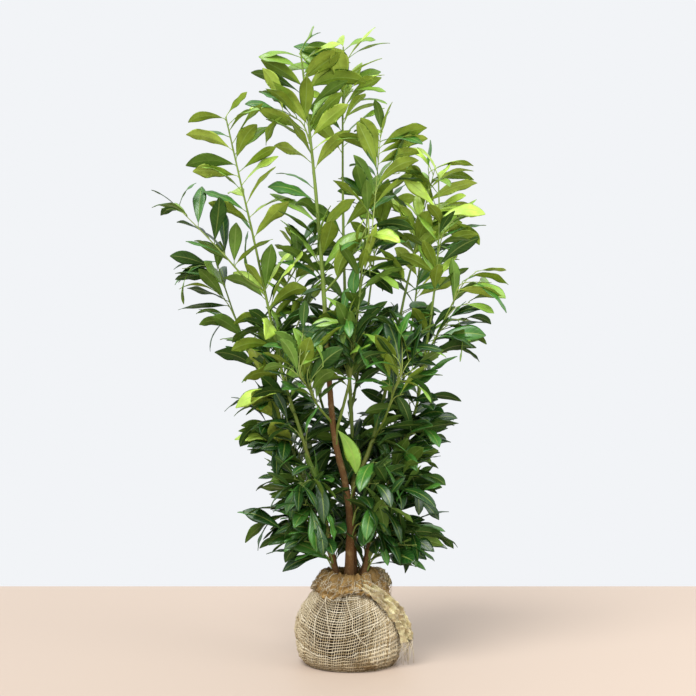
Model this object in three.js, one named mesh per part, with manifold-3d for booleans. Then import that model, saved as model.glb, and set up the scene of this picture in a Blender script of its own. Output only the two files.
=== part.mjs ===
// An evergreen hedging shrub lifted from the field: a leaning trunk and a clump of slender
// stems from one root, side boughs, masses of long leaves, and a hessian-wrapped root ball.
// Millimetres, +Z up. The origin is the middle of the ball's flat underside, +X is to the
// right and -Y is the front, where the trunk shows through the leaves.
import * as THREE from "three";
import { mergeVertices } from "three/addons/utils/BufferGeometryUtils.js";
import Module from "manifold-3d";

const wasm = await Module();
wasm.setup();

// ---- driving dimensions ------------------------------------------------------------------

const GAP = 0.4; // clearance that touching pieces keep
const SOIL_LEVEL = 244; // height of the soil inside the collar, where every stem is cut flat
const STEM_ROOTING = 20; // how far a stem's route starts below the soil, before it is cut
const LIMB_SIDES = 6;
const LIMB_STEPS = 7;
const LIMB_GAP = GAP / Math.cos(Math.PI / LIMB_SIDES); // keeps GAP at the flats of a limb's sides
const FLARE_LENGTH = 45; // over which a stem's root flare dies away
const TAPER = 0.85; // of a limb from foot to tip: 1 is even, less is quicker near the foot
const FRONT = new THREE.Vector3(0, -1, 0);

const MASS_SIDES = 7;
const MASS_STEPS = 6;
const BLUNTNESS = 2.5; // of the ends of a mass of leaves: 2 is a round end
const FINGER_DEPTH = 0.15; // share of a mass's half width
const RAGGEDNESS = 0.2;
const FEWEST_FINGERS = 3;
const MOST_FINGERS = 5;
const MOST_WINDING = 4.5; // radians that a mass's fingers turn from end to end
const POLE = 0.01; // closer to its axis than this, a point of a ball counts as its end

const BALL = {
  footRadius: 128,
  girthRadius: 153,
  girthHeight: 92,
  neckRadius: 62,
  lean: -6, // sideways shift of the belly, none at the foot
  heel: [18, 12], // how far the side leaves the foot's edge outward and upward
  fullness: 66, // how far the side keeps upright above the girth
  slope: [48, 52], // how far the shoulder leaves the neck outward and downward
  sides: 22,
  bellySteps: 3,
  shoulderSteps: 5,
  lumps: [
    { count: 3, depth: 0.016, turn: 0.6 },
    { count: 5, depth: 0.014, turn: -1.2 },
  ],
};

const COLLAR = {
  innerRadius: 57,
  lipRadius: 68,
  lipHeight: 268,
  skirtRadius: 104,
  skirtHeight: 196,
  tuck: 12, // how far its edges go down behind the skirt and inside the lip
  bulge: [12, 30], // how far in from the skirt, and up from it, the widest fold sits
  pleats: 9,
  pleatDepth: 5,
  pleatTurn: 0.7,
  pleatStart: 0.35, // share of the depth that a pleat has at the inner edge
  droop: 7, // the hem's rise and fall round the ball
  droopTurn: -0.8,
  sides: 27,
};
const CLOTH_SIDES = 8;
const CLOTH_STEPS = 7;
const CLOTH_NARROWING = 0.45; // of a cloth end towards its tips, as a share of its width
const CLOTH_WIDEST = 0.25; // where along a cloth end it is widest

// A flattened tongue of cloth: its route, and its half width and half thickness at each end.
const CLOTH_ENDS = [
  {
    name: "hessian_tail",
    route: [
      [44, -70, 246],
      [92, -76, 214],
      [134, -62, 168],
      [160, -48, 118],
      [166, -42, 62],
    ],
    halfWidth: [20, 27],
    halfThickness: [8, 4],
    lie: [0.6, -0.7, 0.3],
  },
  {
    name: "hessian_ear",
    route: [
      [58, 62, 222],
      [88, 74, 224],
      [112, 78, 204],
    ],
    halfWidth: [16, 15],
    halfThickness: [8, 4],
    lie: [0.2, 0.7, 0.6],
  },
];

// Every stem: its route from the soil to its tip, and its radius at both ends.
const STEMS = [
  {
    name: "trunk",
    wood: "bark",
    route: [
      [-3, -14, SOIL_LEVEL],
      [0, -20, 470],
      [-48, -42, 655],
      [-70, -50, 990],
      [-100, -42, 1370],
      [-146, -30, 1790],
    ],
    radius: [12.5, 2.8],
    flare: 3,
  },
  {
    name: "centre_stem",
    wood: "bark",
    route: [
      [12, 28, SOIL_LEVEL],
      [6, 55, 700],
      [-15, 50, 1060],
      [-22, 32, 1450],
      [-20, 22, 1815],
    ],
    radius: [8, 2.3],
    flare: 3,
  },
  {
    name: "left_stem",
    wood: "bark",
    route: [
      [-35, 2, SOIL_LEVEL],
      [-92, 8, 495],
      [-200, -20, 840],
      [-255, -42, 1115],
      [-330, -58, 1440],
      [-362, -62, 1580],
    ],
    radius: [7.5, 2.2],
    flare: 3,
  },
  {
    name: "far_left_stem",
    wood: "bark",
    route: [
      [-26, 34, SOIL_LEVEL],
      [-120, 55, 460],
      [-220, 80, 730],
      [-325, 92, 945],
      [-420, 88, 1225],
    ],
    radius: [6.5, 1.8],
    flare: 3,
  },
  {
    name: "right_stem",
    wood: "bark",
    route: [
      [36, 2, SOIL_LEVEL],
      [95, 48, 460],
      [190, 22, 705],
      [225, -8, 920],
      [258, -32, 1160],
      [260, -38, 1415],
    ],
    radius: [7, 2],
    flare: 3,
  },
  {
    name: "back_right_stem",
    wood: "bark",
    route: [
      [33, 34, SOIL_LEVEL],
      [85, 112, 455],
      [142, 165, 695],
      [190, 192, 960],
      [236, 212, 1320],
    ],
    radius: [6.5, 2],
    flare: 3,
  },
];

// Every bough leaves the stem named by "on", and ends where it enters its mass of leaves.
const BOUGHS = [
  {
    name: "fork_bough",
    on: "trunk",
    route: [
      [0, -20, 478],
      [70, 12, 645],
      [115, 36, 830],
      [170, 62, 1100],
      [214, 72, 1262],
    ],
    radius: [7.5, 3],
  },
  {
    name: "front_bough",
    on: "trunk",
    route: [
      [-45, -42, 648],
      [5, -85, 840],
      [25, -92, 1045],
      [52, -86, 1300],
    ],
    radius: [5, 2.6],
  },
  {
    name: "inner_right_bough",
    on: "trunk",
    route: [
      [-76, -50, 1068],
      [-30, -64, 1120],
      [28, -84, 1212],
    ],
    radius: [4, 2.6],
  },
  {
    name: "far_left_bough",
    on: "left_stem",
    route: [
      [-252, -42, 1078],
      [-300, -52, 1108],
      [-360, -66, 1172],
    ],
    radius: [3.6, 2.4],
  },
  {
    name: "inner_left_bough",
    on: "left_stem",
    route: [
      [-232, -34, 1030],
      [-195, -4, 1088],
      [-150, 22, 1168],
    ],
    radius: [3.2, 2],
  },
  {
    name: "far_right_bough",
    on: "right_stem",
    route: [
      [216, -2, 870],
      [262, -42, 965],
      [300, -66, 1045],
    ],
    radius: [3.6, 2.2],
  },
  {
    name: "back_left_bough",
    on: "centre_stem",
    route: [
      [10, 46, 520],
      [-50, 130, 640],
      [-110, 195, 830],
      [-150, 228, 1030],
    ],
    radius: [6, 3],
  },
  {
    name: "back_centre_bough",
    on: "centre_stem",
    route: [
      [5, 56, 730],
      [35, 115, 900],
      [66, 148, 1120],
      [76, 155, 1210],
    ],
    radius: [4.6, 2.6],
  },
  {
    name: "front_left_bough",
    on: "trunk",
    route: [
      [-50, -44, 690],
      [-92, -110, 742],
      [-116, -160, 790],
    ],
    radius: [4, 2.6],
  },
  {
    name: "front_right_bough",
    on: "fork_bough",
    route: [
      [68, 12, 640],
      [104, -76, 715],
      [126, -140, 790],
    ],
    radius: [4, 2.6],
  },
];

// Every mass of leaves: its spine from foot to tip, its half width at four even steps along
// the spine, how deep it is from front to back beside that, and the seed of its unevenness.
const FOLIAGE = [
  // The open sprays at the ends of the tall shoots.
  {
    name: "left_leader_top_leaves",
    spine: [[-106, -42, 1440], [-138, -36, 1630], [-152, -32, 1866]],
    girth: [75, 105, 125, 165],
    depth: 0.75,
    seed: 3,
  },
  {
    name: "centre_top_leaves",
    spine: [[-10, 34, 1510], [2, 40, 1700], [6, 44, 1866]],
    girth: [60, 95, 105, 118],
    depth: 0.75,
    seed: 5,
  },
  {
    name: "left_top_leaves",
    spine: [[-274, -50, 1236], [-322, -56, 1450], [-368, -62, 1668]],
    girth: [60, 105, 142, 130],
    depth: 0.75,
    seed: 7,
  },
  {
    name: "far_left_top_leaves",
    spine: [[-346, -60, 1160], [-430, -78, 1270], [-556, -96, 1372]],
    girth: [36, 72, 80, 54],
    depth: 0.9,
    seed: 9,
  },
  {
    name: "right_inner_top_leaves",
    spine: [[56, -88, 1290], [80, -88, 1450], [104, -80, 1624]],
    girth: [60, 95, 112, 88],
    depth: 0.8,
    seed: 11,
  },
  {
    name: "right_top_leaves",
    spine: [[214, 66, 1236], [258, 66, 1380], [278, 60, 1548]],
    girth: [70, 112, 132, 92],
    depth: 0.75,
    seed: 13,
  },
  {
    name: "back_centre_top_leaves",
    spine: [[76, 162, 1190], [80, 166, 1360], [78, 166, 1540]],
    girth: [56, 84, 90, 60],
    depth: 0.9,
    seed: 15,
  },
  {
    name: "back_left_top_leaves",
    spine: [[-150, 232, 1016], [-160, 240, 1160], [-170, 242, 1310]],
    girth: [60, 88, 94, 60],
    depth: 0.9,
    seed: 17,
  },
  {
    name: "back_right_top_leaves",
    spine: [[206, 200, 1090], [230, 214, 1240], [244, 218, 1382]],
    girth: [66, 92, 92, 60],
    depth: 0.9,
    seed: 19,
  },
  // The sleeves of leaves lower down the tall shoots.
  {
    name: "left_leader_middle_leaves",
    spine: [[-78, -52, 1110], [-98, -52, 1250], [-120, -48, 1430]],
    girth: [50, 74, 96, 104],
    depth: 0.8,
    seed: 21,
  },
  {
    name: "centre_middle_leaves",
    spine: [[-14, 52, 1130], [-20, 44, 1300], [-12, 38, 1504]],
    girth: [45, 60, 68, 58],
    depth: 1,
    seed: 23,
  },
  {
    name: "right_inner_middle_leaves",
    spine: [[30, -88, 1070], [66, -82, 1170], [92, -78, 1284]],
    girth: [50, 72, 78, 56],
    depth: 0.8,
    seed: 25,
  },
  {
    name: "left_middle_leaves",
    spine: [[-234, -36, 1060], [-256, -44, 1140], [-282, -50, 1232]],
    girth: [46, 70, 76, 50],
    depth: 0.9,
    seed: 27,
  },
  {
    name: "inner_left_leaves",
    spine: [[-146, 26, 1160], [-126, 44, 1220], [-108, 52, 1308]],
    girth: [40, 56, 58, 40],
    depth: 1,
    seed: 29,
  },
  {
    name: "far_left_middle_leaves",
    spine: [[-376, 92, 1066], [-450, 92, 1134], [-562, 92, 1176]],
    girth: [40, 68, 72, 44],
    depth: 0.9,
    seed: 31,
  },
  {
    name: "far_left_low_leaves",
    spine: [[-264, 86, 810], [-320, 90, 930], [-420, 92, 1062]],
    girth: [40, 58, 64, 58],
    depth: 0.9,
    seed: 33,
  },
  {
    name: "right_middle_leaves",
    spine: [[254, -36, 1080], [278, -42, 1210], [302, -44, 1372]],
    girth: [60, 86, 104, 84],
    depth: 0.8,
    seed: 35,
  },
  {
    name: "far_right_leaves",
    spine: [[290, -66, 1052], [366, -74, 1086], [450, -80, 1116]],
    girth: [34, 58, 66, 50],
    depth: 0.9,
    seed: 37,
  },
  {
    name: "far_right_low_leaves",
    spine: [[234, -14, 900], [316, -22, 955], [414, -30, 1000]],
    girth: [44, 66, 60, 34],
    depth: 0.9,
    seed: 39,
  },
  // The dense body of the shrub.
  {
    name: "heart_leaves",
    spine: [[-16, 24, 810], [-18, 22, 950], [-20, 26, 1110]],
    girth: [84, 104, 104, 70],
    depth: 0.75,
    seed: 41,
  },
  {
    name: "left_heart_leaves",
    spine: [[-172, 14, 800], [-206, 14, 920], [-240, 12, 1066]],
    girth: [66, 90, 94, 62],
    depth: 1,
    seed: 43,
  },
  {
    name: "right_heart_leaves",
    spine: [[142, 34, 800], [168, 34, 940], [192, 34, 1090]],
    girth: [76, 100, 104, 66],
    depth: 1,
    seed: 45,
  },
  {
    name: "left_low_leaves",
    spine: [[-112, 26, 560], [-200, 30, 672], [-274, 32, 820]],
    girth: [64, 106, 110, 70],
    depth: 1,
    seed: 47,
  },
  {
    name: "right_low_leaves",
    spine: [[98, 16, 552], [194, 14, 668], [236, 10, 812]],
    girth: [66, 110, 114, 74],
    depth: 1,
    seed: 49,
  },
  {
    name: "left_waist_leaves",
    spine: [[-64, -10, 424], [-140, -10, 500], [-240, -10, 556]],
    girth: [48, 80, 80, 50],
    depth: 1,
    seed: 51,
  },
  {
    name: "right_waist_leaves",
    spine: [[66, -8, 424], [146, -12, 490], [254, -14, 552]],
    girth: [48, 84, 86, 54],
    depth: 1,
    seed: 53,
  },
  {
    name: "trunk_side_leaves",
    spine: [[-2, 62, 318], [-4, 72, 540], [-10, 66, 800]],
    girth: [44, 62, 70, 52],
    depth: 0.8,
    seed: 55,
  },
  {
    name: "front_left_low_leaves",
    spine: [[-84, -70, 304], [-114, -110, 470], [-120, -126, 640]],
    girth: [40, 58, 62, 44],
    depth: 1,
    seed: 57,
  },
  {
    name: "front_right_low_leaves",
    spine: [[74, -70, 304], [96, -110, 470], [108, -126, 650]],
    girth: [40, 64, 70, 48],
    depth: 1,
    seed: 59,
  },
  {
    name: "front_left_leaves",
    spine: [[-112, -148, 730], [-128, -184, 870], [-136, -196, 1010]],
    girth: [52, 82, 84, 54],
    depth: 0.9,
    seed: 61,
  },
  {
    name: "front_right_leaves",
    spine: [[122, -136, 730], [142, -172, 870], [150, -188, 1010]],
    girth: [52, 82, 84, 54],
    depth: 0.9,
    seed: 63,
  },
  {
    name: "front_heart_leaves",
    spine: [[4, -132, 830], [4, -140, 950], [-2, -126, 1070]],
    girth: [40, 60, 62, 42],
    depth: 0.8,
    seed: 65,
  },
  {
    name: "back_left_low_leaves",
    spine: [[-64, 130, 440], [-112, 168, 600], [-120, 178, 780]],
    girth: [66, 104, 108, 70],
    depth: 0.9,
    seed: 67,
  },
  {
    name: "back_right_low_leaves",
    spine: [[66, 130, 440], [112, 166, 600], [122, 172, 780]],
    girth: [66, 104, 108, 70],
    depth: 0.9,
    seed: 69,
  },
  {
    name: "back_heart_leaves",
    spine: [[0, 184, 800], [10, 204, 940], [16, 206, 1110]],
    girth: [96, 140, 142, 90],
    depth: 0.6,
    seed: 71,
  },
  {
    name: "skirt_left_leaves",
    spine: [[-70, -8, 296], [-150, -18, 366], [-318, -28, 422]],
    girth: [44, 84, 66, 34],
    depth: 1,
    seed: 73,
  },
  {
    name: "skirt_right_leaves",
    spine: [[70, -8, 296], [140, -12, 340], [308, -16, 366]],
    girth: [44, 84, 74, 40],
    depth: 1,
    seed: 75,
  },
  {
    name: "skirt_back_leaves",
    spine: [[0, 80, 300], [4, 120, 366], [4, 190, 420]],
    girth: [70, 100, 100, 60],
    depth: 0.8,
    seed: 77,
  },
];

const COLOURS = {
  bark: [0x7a5238, 0.85],
  greenBark: [0x8c9a3c, 0.6],
  leaves: [0x3f6d25, 0.45],
  hessian: [0xb59a6b, 0.95],
};

// ---- solids from geometry, and back ------------------------------------------------------

// A closed geometry whose vertices are shared, ready to cut or to move point by point.
function welded(geometry) {
  geometry.deleteAttribute("normal");
  geometry.deleteAttribute("uv");
  return mergeVertices(geometry, 1e-3);
}

function toSolid(geometry) {
  return new wasm.Manifold(
    new wasm.Mesh({
      numProp: 3,
      vertProperties: geometry.attributes.position.array,
      triVerts: new Uint32Array(geometry.index.array),
    }),
  );
}

function toGeometry(solid) {
  const { vertProperties, triVerts } = solid.getMesh();
  const geometry = new THREE.BufferGeometry();
  geometry.setAttribute("position", new THREE.BufferAttribute(vertProperties, 3));
  geometry.setIndex(new THREE.BufferAttribute(triVerts, 1));
  geometry.computeVertexNormals();
  return geometry;
}

// What is left of a solid after the cutters, without the crumbs that a cut leaves.
function carved(solid, cutters) {
  const rest = cutters.reduce((body, cutter) => body.subtract(cutter), solid);
  return rest.decompose().reduce((a, b) => (a.volume() >= b.volume() ? a : b));
}

function mesh(name, solid, colour) {
  const [color, roughness] = COLOURS[colour];
  const material = new THREE.MeshStandardMaterial({ color, roughness, metalness: 0 });
  const made = new THREE.Mesh(toGeometry(solid), material);
  made.name = name;
  return made;
}

// ---- shapes ------------------------------------------------------------------------------

// A repeatable run of numbers from 0 to 1.
function seeded(seed) {
  let state = seed * 2654435761;
  return () => {
    state = (state + 0x6d2b79f5) | 0;
    let mixed = Math.imul(state ^ (state >>> 15), 1 | state);
    mixed = (mixed + Math.imul(mixed ^ (mixed >>> 7), 61 | mixed)) ^ mixed;
    return ((mixed ^ (mixed >>> 14)) >>> 0) / 4294967296;
  };
}

function vectors(points) {
  return points.map((point) => new THREE.Vector3(...point));
}

// Moves every vertex of a geometry to where place(vertex) says.
function reshape(geometry, place) {
  const position = geometry.attributes.position;
  const vertex = new THREE.Vector3();
  for (let i = 0; i < position.count; i++) {
    vertex.fromBufferAttribute(position, i);
    position.setXYZ(i, ...place(vertex).toArray());
  }
  return geometry;
}

// A closed tube along a curve. size(t) gives its half width and half thickness from foot to
// tip, its width keeps across the direction "facing", and it overruns the curve at both ends.
function sweep(curve, size, { sides, steps, facing = FRONT, overrun = 0 }) {
  const cylinder = welded(new THREE.CylinderGeometry(1, 1, 1, sides, steps));
  const across = new THREE.Vector3();
  const outward = new THREE.Vector3();
  return reshape(cylinder, ({ x, y, z }) => {
    const t = THREE.MathUtils.clamp(y + 0.5, 0, 1);
    const along = curve.getTangentAt(t);
    const [width, thickness] = size(t);
    across.crossVectors(along, facing).normalize();
    outward.crossVectors(across, along).normalize();
    const point = curve.getPointAt(t).addScaledVector(along, 2 * y * overrun);
    return point.addScaledVector(across, -x * width).addScaledVector(outward, -z * thickness);
  });
}

// A tapering limb, or the room for it, which is wider and longer by "grow". Its radius falls
// from foot to tip, with a flare over the first part.
function limb({ route, radius, flare = 0 }, grow = 0) {
  const curve = new THREE.CatmullRomCurve3(vectors(route), false, "centripetal");
  const [foot, tip] = radius;
  const flareShare = FLARE_LENGTH / curve.getLength();
  const size = (t) => {
    const wood = THREE.MathUtils.lerp(foot, tip, t ** TAPER) + flare * Math.exp(-t / flareShare);
    return [wood + grow, wood + grow];
  };
  return toSolid(sweep(curve, size, { sides: LIMB_SIDES, steps: LIMB_STEPS, overrun: grow }));
}

function rootedRoute(route) {
  const [x, y, z] = route[0];
  return [[x, y, z - STEM_ROOTING], ...route.slice(1)];
}

// The root ball: a lathe from its flat foot over the belly to the flat soil at its neck,
// made uneven by shallow lumps that leave both flats level.
function rootBall(grow = 0) {
  const { footRadius, girthRadius, girthHeight, neckRadius, heel, slope } = BALL;
  const belly = new THREE.CubicBezierCurve(
    new THREE.Vector2(footRadius + grow, 0),
    new THREE.Vector2(footRadius + heel[0] + grow, heel[1]),
    new THREE.Vector2(girthRadius + grow, girthHeight / 2),
    new THREE.Vector2(girthRadius + grow, girthHeight),
  );
  const shoulder = new THREE.CubicBezierCurve(
    new THREE.Vector2(girthRadius + grow, girthHeight),
    new THREE.Vector2(girthRadius + grow, girthHeight + BALL.fullness),
    new THREE.Vector2(neckRadius + slope[0] + grow, SOIL_LEVEL - slope[1]),
    new THREE.Vector2(neckRadius + grow, SOIL_LEVEL + grow),
  );
  const profile = [
    new THREE.Vector2(0, 0),
    ...belly.getPoints(BALL.bellySteps),
    ...shoulder.getPoints(BALL.shoulderSteps).slice(1),
    new THREE.Vector2(0, SOIL_LEVEL + grow),
  ];
  const turned = new THREE.LatheGeometry(profile, BALL.sides).rotateX(Math.PI / 2);
  return toSolid(
    reshape(welded(turned), (vertex) => {
      const angle = Math.atan2(vertex.y, vertex.x);
      const lift = Math.sin((Math.PI * THREE.MathUtils.clamp(vertex.z, 0, SOIL_LEVEL)) / SOIL_LEVEL);
      const waves = BALL.lumps.map(({ count, depth, turn }) => depth * Math.sin(count * angle + turn));
      const radial = 1 + lift * waves.reduce((sum, wave) => sum + wave);
      return vertex.set(vertex.x * radial + BALL.lean * lift, vertex.y * radial, vertex.z);
    }),
  );
}

// The gathered cloth round the stems: a pleated ring that sits on the ball's shoulder.
function collar(grow = 0) {
  const { innerRadius, lipRadius, lipHeight, skirtRadius, skirtHeight, tuck, bulge } = COLLAR;
  const innerEdge = [innerRadius - grow, SOIL_LEVEL - tuck - grow];
  const section = [
    innerEdge,
    [skirtRadius - COLLAR.pleatDepth, skirtHeight - tuck - grow],
    [skirtRadius + grow, skirtHeight],
    [skirtRadius - bulge[0] + grow, skirtHeight + bulge[1]],
    [lipRadius + grow, lipHeight + grow],
    [innerRadius, lipHeight + grow],
    innerEdge,
  ];
  const profile = section.map(([radius, height]) => new THREE.Vector2(radius, height));
  const turned = new THREE.LatheGeometry(profile, COLLAR.sides).rotateX(Math.PI / 2);
  return toSolid(
    reshape(welded(turned), (vertex) => {
      const angle = Math.atan2(vertex.y, vertex.x);
      const radius = Math.hypot(vertex.x, vertex.y);
      const outer = THREE.MathUtils.smoothstep(radius, innerRadius, skirtRadius);
      const deep = COLLAR.pleatDepth * THREE.MathUtils.lerp(COLLAR.pleatStart, 1, outer);
      const pleat = deep * Math.cos(COLLAR.pleats * angle + COLLAR.pleatTurn);
      const drop = COLLAR.droop * Math.cos(2 * angle + COLLAR.droopTurn);
      const radial = 1 + (pleat * outer) / radius;
      return vertex.set(vertex.x * radial, vertex.y * radial, vertex.z + drop * outer);
    }),
  );
}

// A tongue of cloth that lies over the ball and hangs from its knot.
function clothEnd({ route, halfWidth, halfThickness, lie }) {
  const curve = new THREE.CatmullRomCurve3(vectors(route), false, "centripetal");
  const facing = new THREE.Vector3(...lie).normalize();
  const size = (t) => {
    const fullness = Math.sin(Math.PI * Math.min(1, t + CLOTH_WIDEST));
    const rounded = THREE.MathUtils.lerp(1 - CLOTH_NARROWING, 1, fullness);
    const width = THREE.MathUtils.lerp(...halfWidth, t) * rounded;
    return [width, THREE.MathUtils.lerp(...halfThickness, t)];
  };
  return toSolid(sweep(curve, size, { sides: CLOTH_SIDES, steps: CLOTH_STEPS, facing }));
}

// One mass of leaves: a blunt-ended ball drawn out along its spine, wide and narrow as its
// girths say, with ragged fingers that wind up it as leaves do.
function leafMass({ spine, girth, depth, seed }, grow = 0) {
  const random = seeded(seed);
  const curve = new THREE.CatmullRomCurve3(vectors(spine));
  const girthCurve = new THREE.CatmullRomCurve3(
    girth.map((radius, i) => new THREE.Vector3(i / (girth.length - 1), radius, 0)),
  );
  const fingers = FEWEST_FINGERS + Math.floor(random() * (MOST_FINGERS + 1 - FEWEST_FINGERS));
  const winding = (random() * 2 - 1) * MOST_WINDING;
  const start = random() * Math.PI * 2;
  const foot = curve.getPoint(0);
  const axis = curve.getPoint(1).sub(foot).normalize();
  const sideways = new THREE.Vector3().crossVectors(new THREE.Vector3(0, 1, 0), axis).normalize();
  const deep = new THREE.Vector3().crossVectors(sideways, axis).normalize();
  const ball = welded(new THREE.SphereGeometry(1, MASS_SIDES, MASS_STEPS));
  return toSolid(
    reshape(ball, ({ x, y, z }) => {
      const t = (y + 1) / 2;
      const round = Math.hypot(x, z);
      const blunt = (1 - Math.abs(y) ** BLUNTNESS) ** (1 / BLUNTNESS);
      const angle = Math.atan2(z, x);
      const finger = FINGER_DEPTH * Math.cos(fingers * angle + winding * t + start);
      const ragged = 1 + finger + RAGGEDNESS * (random() - 0.5);
      const reach = round < POLE ? 0 : (blunt / round) * (girthCurve.getPoint(t).y * ragged + grow);
      const point = curve.getPoint(t).addScaledVector(axis, grow * y);
      point.addScaledVector(sideways, x * reach);
      return point.addScaledVector(deep, z * reach * depth);
    }),
  );
}

// ---- the plant ---------------------------------------------------------------------------

const plant = new THREE.Group();

const soilRoom = rootBall(GAP);
plant.add(mesh("root_ball", rootBall(), "hessian"));

const stems = STEMS.map((plan) => ({ ...plan, route: rootedRoute(plan.route) }));
const limbRoom = new Map([...stems, ...BOUGHS].map((plan) => [plan.name, limb(plan, LIMB_GAP)]));

for (const plan of stems) plant.add(mesh(plan.name, carved(limb(plan), [soilRoom]), plan.wood));

for (const plan of BOUGHS) {
  const solid = carved(limb(plan), [limbRoom.get(plan.on)]);
  plant.add(mesh(plan.name, solid, "greenBark"));
}

plant.add(mesh("hessian_collar", carved(collar(), [soilRoom, ...limbRoom.values()]), "hessian"));
const clothRoom = [soilRoom, collar(GAP)];
for (const plan of CLOTH_ENDS) plant.add(mesh(plan.name, carved(clothEnd(plan), clothRoom), "hessian"));

const taken = [...limbRoom.values(), ...clothRoom];
for (const plan of FOLIAGE) {
  plant.add(mesh(plan.name, carved(leafMass(plan), taken), "leaves"));
  taken.push(leafMass(plan, GAP));
}

export default plant;
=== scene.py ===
"""Grows bark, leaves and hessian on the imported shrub, and sets it on a studio floor.

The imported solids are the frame: every limb's bark follows its solid's centreline, every mass of
leaves is filled with shoots that grow on from the limbs, and the root ball's cloth is woven over
the ball's own surface. Lengths are in metres.
"""

import math
import random
from typing import NamedTuple

import bpy
import numpy as np
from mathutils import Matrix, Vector, noise
from mathutils.bvhtree import BVHTree


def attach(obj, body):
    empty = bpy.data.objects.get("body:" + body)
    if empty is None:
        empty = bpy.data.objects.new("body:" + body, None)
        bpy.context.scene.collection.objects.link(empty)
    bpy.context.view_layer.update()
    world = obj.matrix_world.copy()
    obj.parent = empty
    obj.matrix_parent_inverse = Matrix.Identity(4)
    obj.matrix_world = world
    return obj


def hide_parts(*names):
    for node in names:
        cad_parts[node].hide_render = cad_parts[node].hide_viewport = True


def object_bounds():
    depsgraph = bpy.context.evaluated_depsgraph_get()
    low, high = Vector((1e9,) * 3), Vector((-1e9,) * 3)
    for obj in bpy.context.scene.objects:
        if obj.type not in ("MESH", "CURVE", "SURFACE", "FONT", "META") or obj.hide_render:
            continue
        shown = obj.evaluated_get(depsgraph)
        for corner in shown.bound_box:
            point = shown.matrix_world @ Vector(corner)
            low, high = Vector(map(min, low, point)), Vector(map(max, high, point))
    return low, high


bl_info = {
    "name": "Root-balled Shrub",
    "version": (1, 0, 0),
    "blender": (4, 5, 0),
    "location": "View3D > Sidebar > Shrub",
    "description": "Grows bark, leaves and hessian on a packed root-balled shrub",
    "category": "Object",
}

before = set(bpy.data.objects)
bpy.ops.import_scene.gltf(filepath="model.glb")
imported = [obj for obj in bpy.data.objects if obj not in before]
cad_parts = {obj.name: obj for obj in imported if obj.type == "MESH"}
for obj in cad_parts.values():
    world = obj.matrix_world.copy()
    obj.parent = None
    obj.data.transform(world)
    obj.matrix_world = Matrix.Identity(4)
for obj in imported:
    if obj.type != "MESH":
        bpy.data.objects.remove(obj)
CAD_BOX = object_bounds()
BOX_LOW, BOX_HIGH = (np.array(corner) for corner in CAD_BOX)

UP = np.array((0.0, 0.0, 1.0))
UPRIGHT = Vector(UP)
TURN = 2 * math.pi
SPIRAL = math.radians(144)  # from one leaf to the next round a shoot
SIDEWAYS = 0.45  # how far leaves turn away from the front and the back, to the sides
WINDOW = (0.26, 0.80)  # the heights between which the trunk shows from the front
WINDOW_HALF = 0.016

STEMS = ("trunk", "centre_stem", "left_stem", "far_left_stem", "right_stem", "back_right_stem")
BOUGH_PLACES = (
    "fork", "front", "inner_right", "far_left", "inner_left", "far_right",
    "back_left", "back_centre", "front_left", "front_right",
)
BOUGHS = tuple(place + "_bough" for place in BOUGH_PLACES)


class Leaf(NamedTuple):
    """Where a leaf grows from, and how it is held."""

    foot: np.ndarray
    heading: float  # compass angle
    rise: float  # angle above level at the foot
    length: float
    droop: float  # how far it bends down on its way
    sweep: float  # how far it turns sideways
    roll: float


# The bright leaf that hangs in front of the trunk, with its upper face to the front.
HANGING_LEAF = Leaf(np.array((-0.034, -0.110, 0.672)), 0.0, -0.85, 0.136, 0.75, 0.1, 1.4)


class Spray(NamedTuple):
    """How a mass of leaves is filled."""

    twigs: int  # side shoots that fill the mass
    palette: str  # which leaf tints it is dealt
    leader: str = ""  # the bough that grows on to the mass's far end
    size: float = 0.95  # of its leaves, as a share of a full-grown one
    gap: float = 1.0  # from leaf to leaf, as a share of the usual


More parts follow.
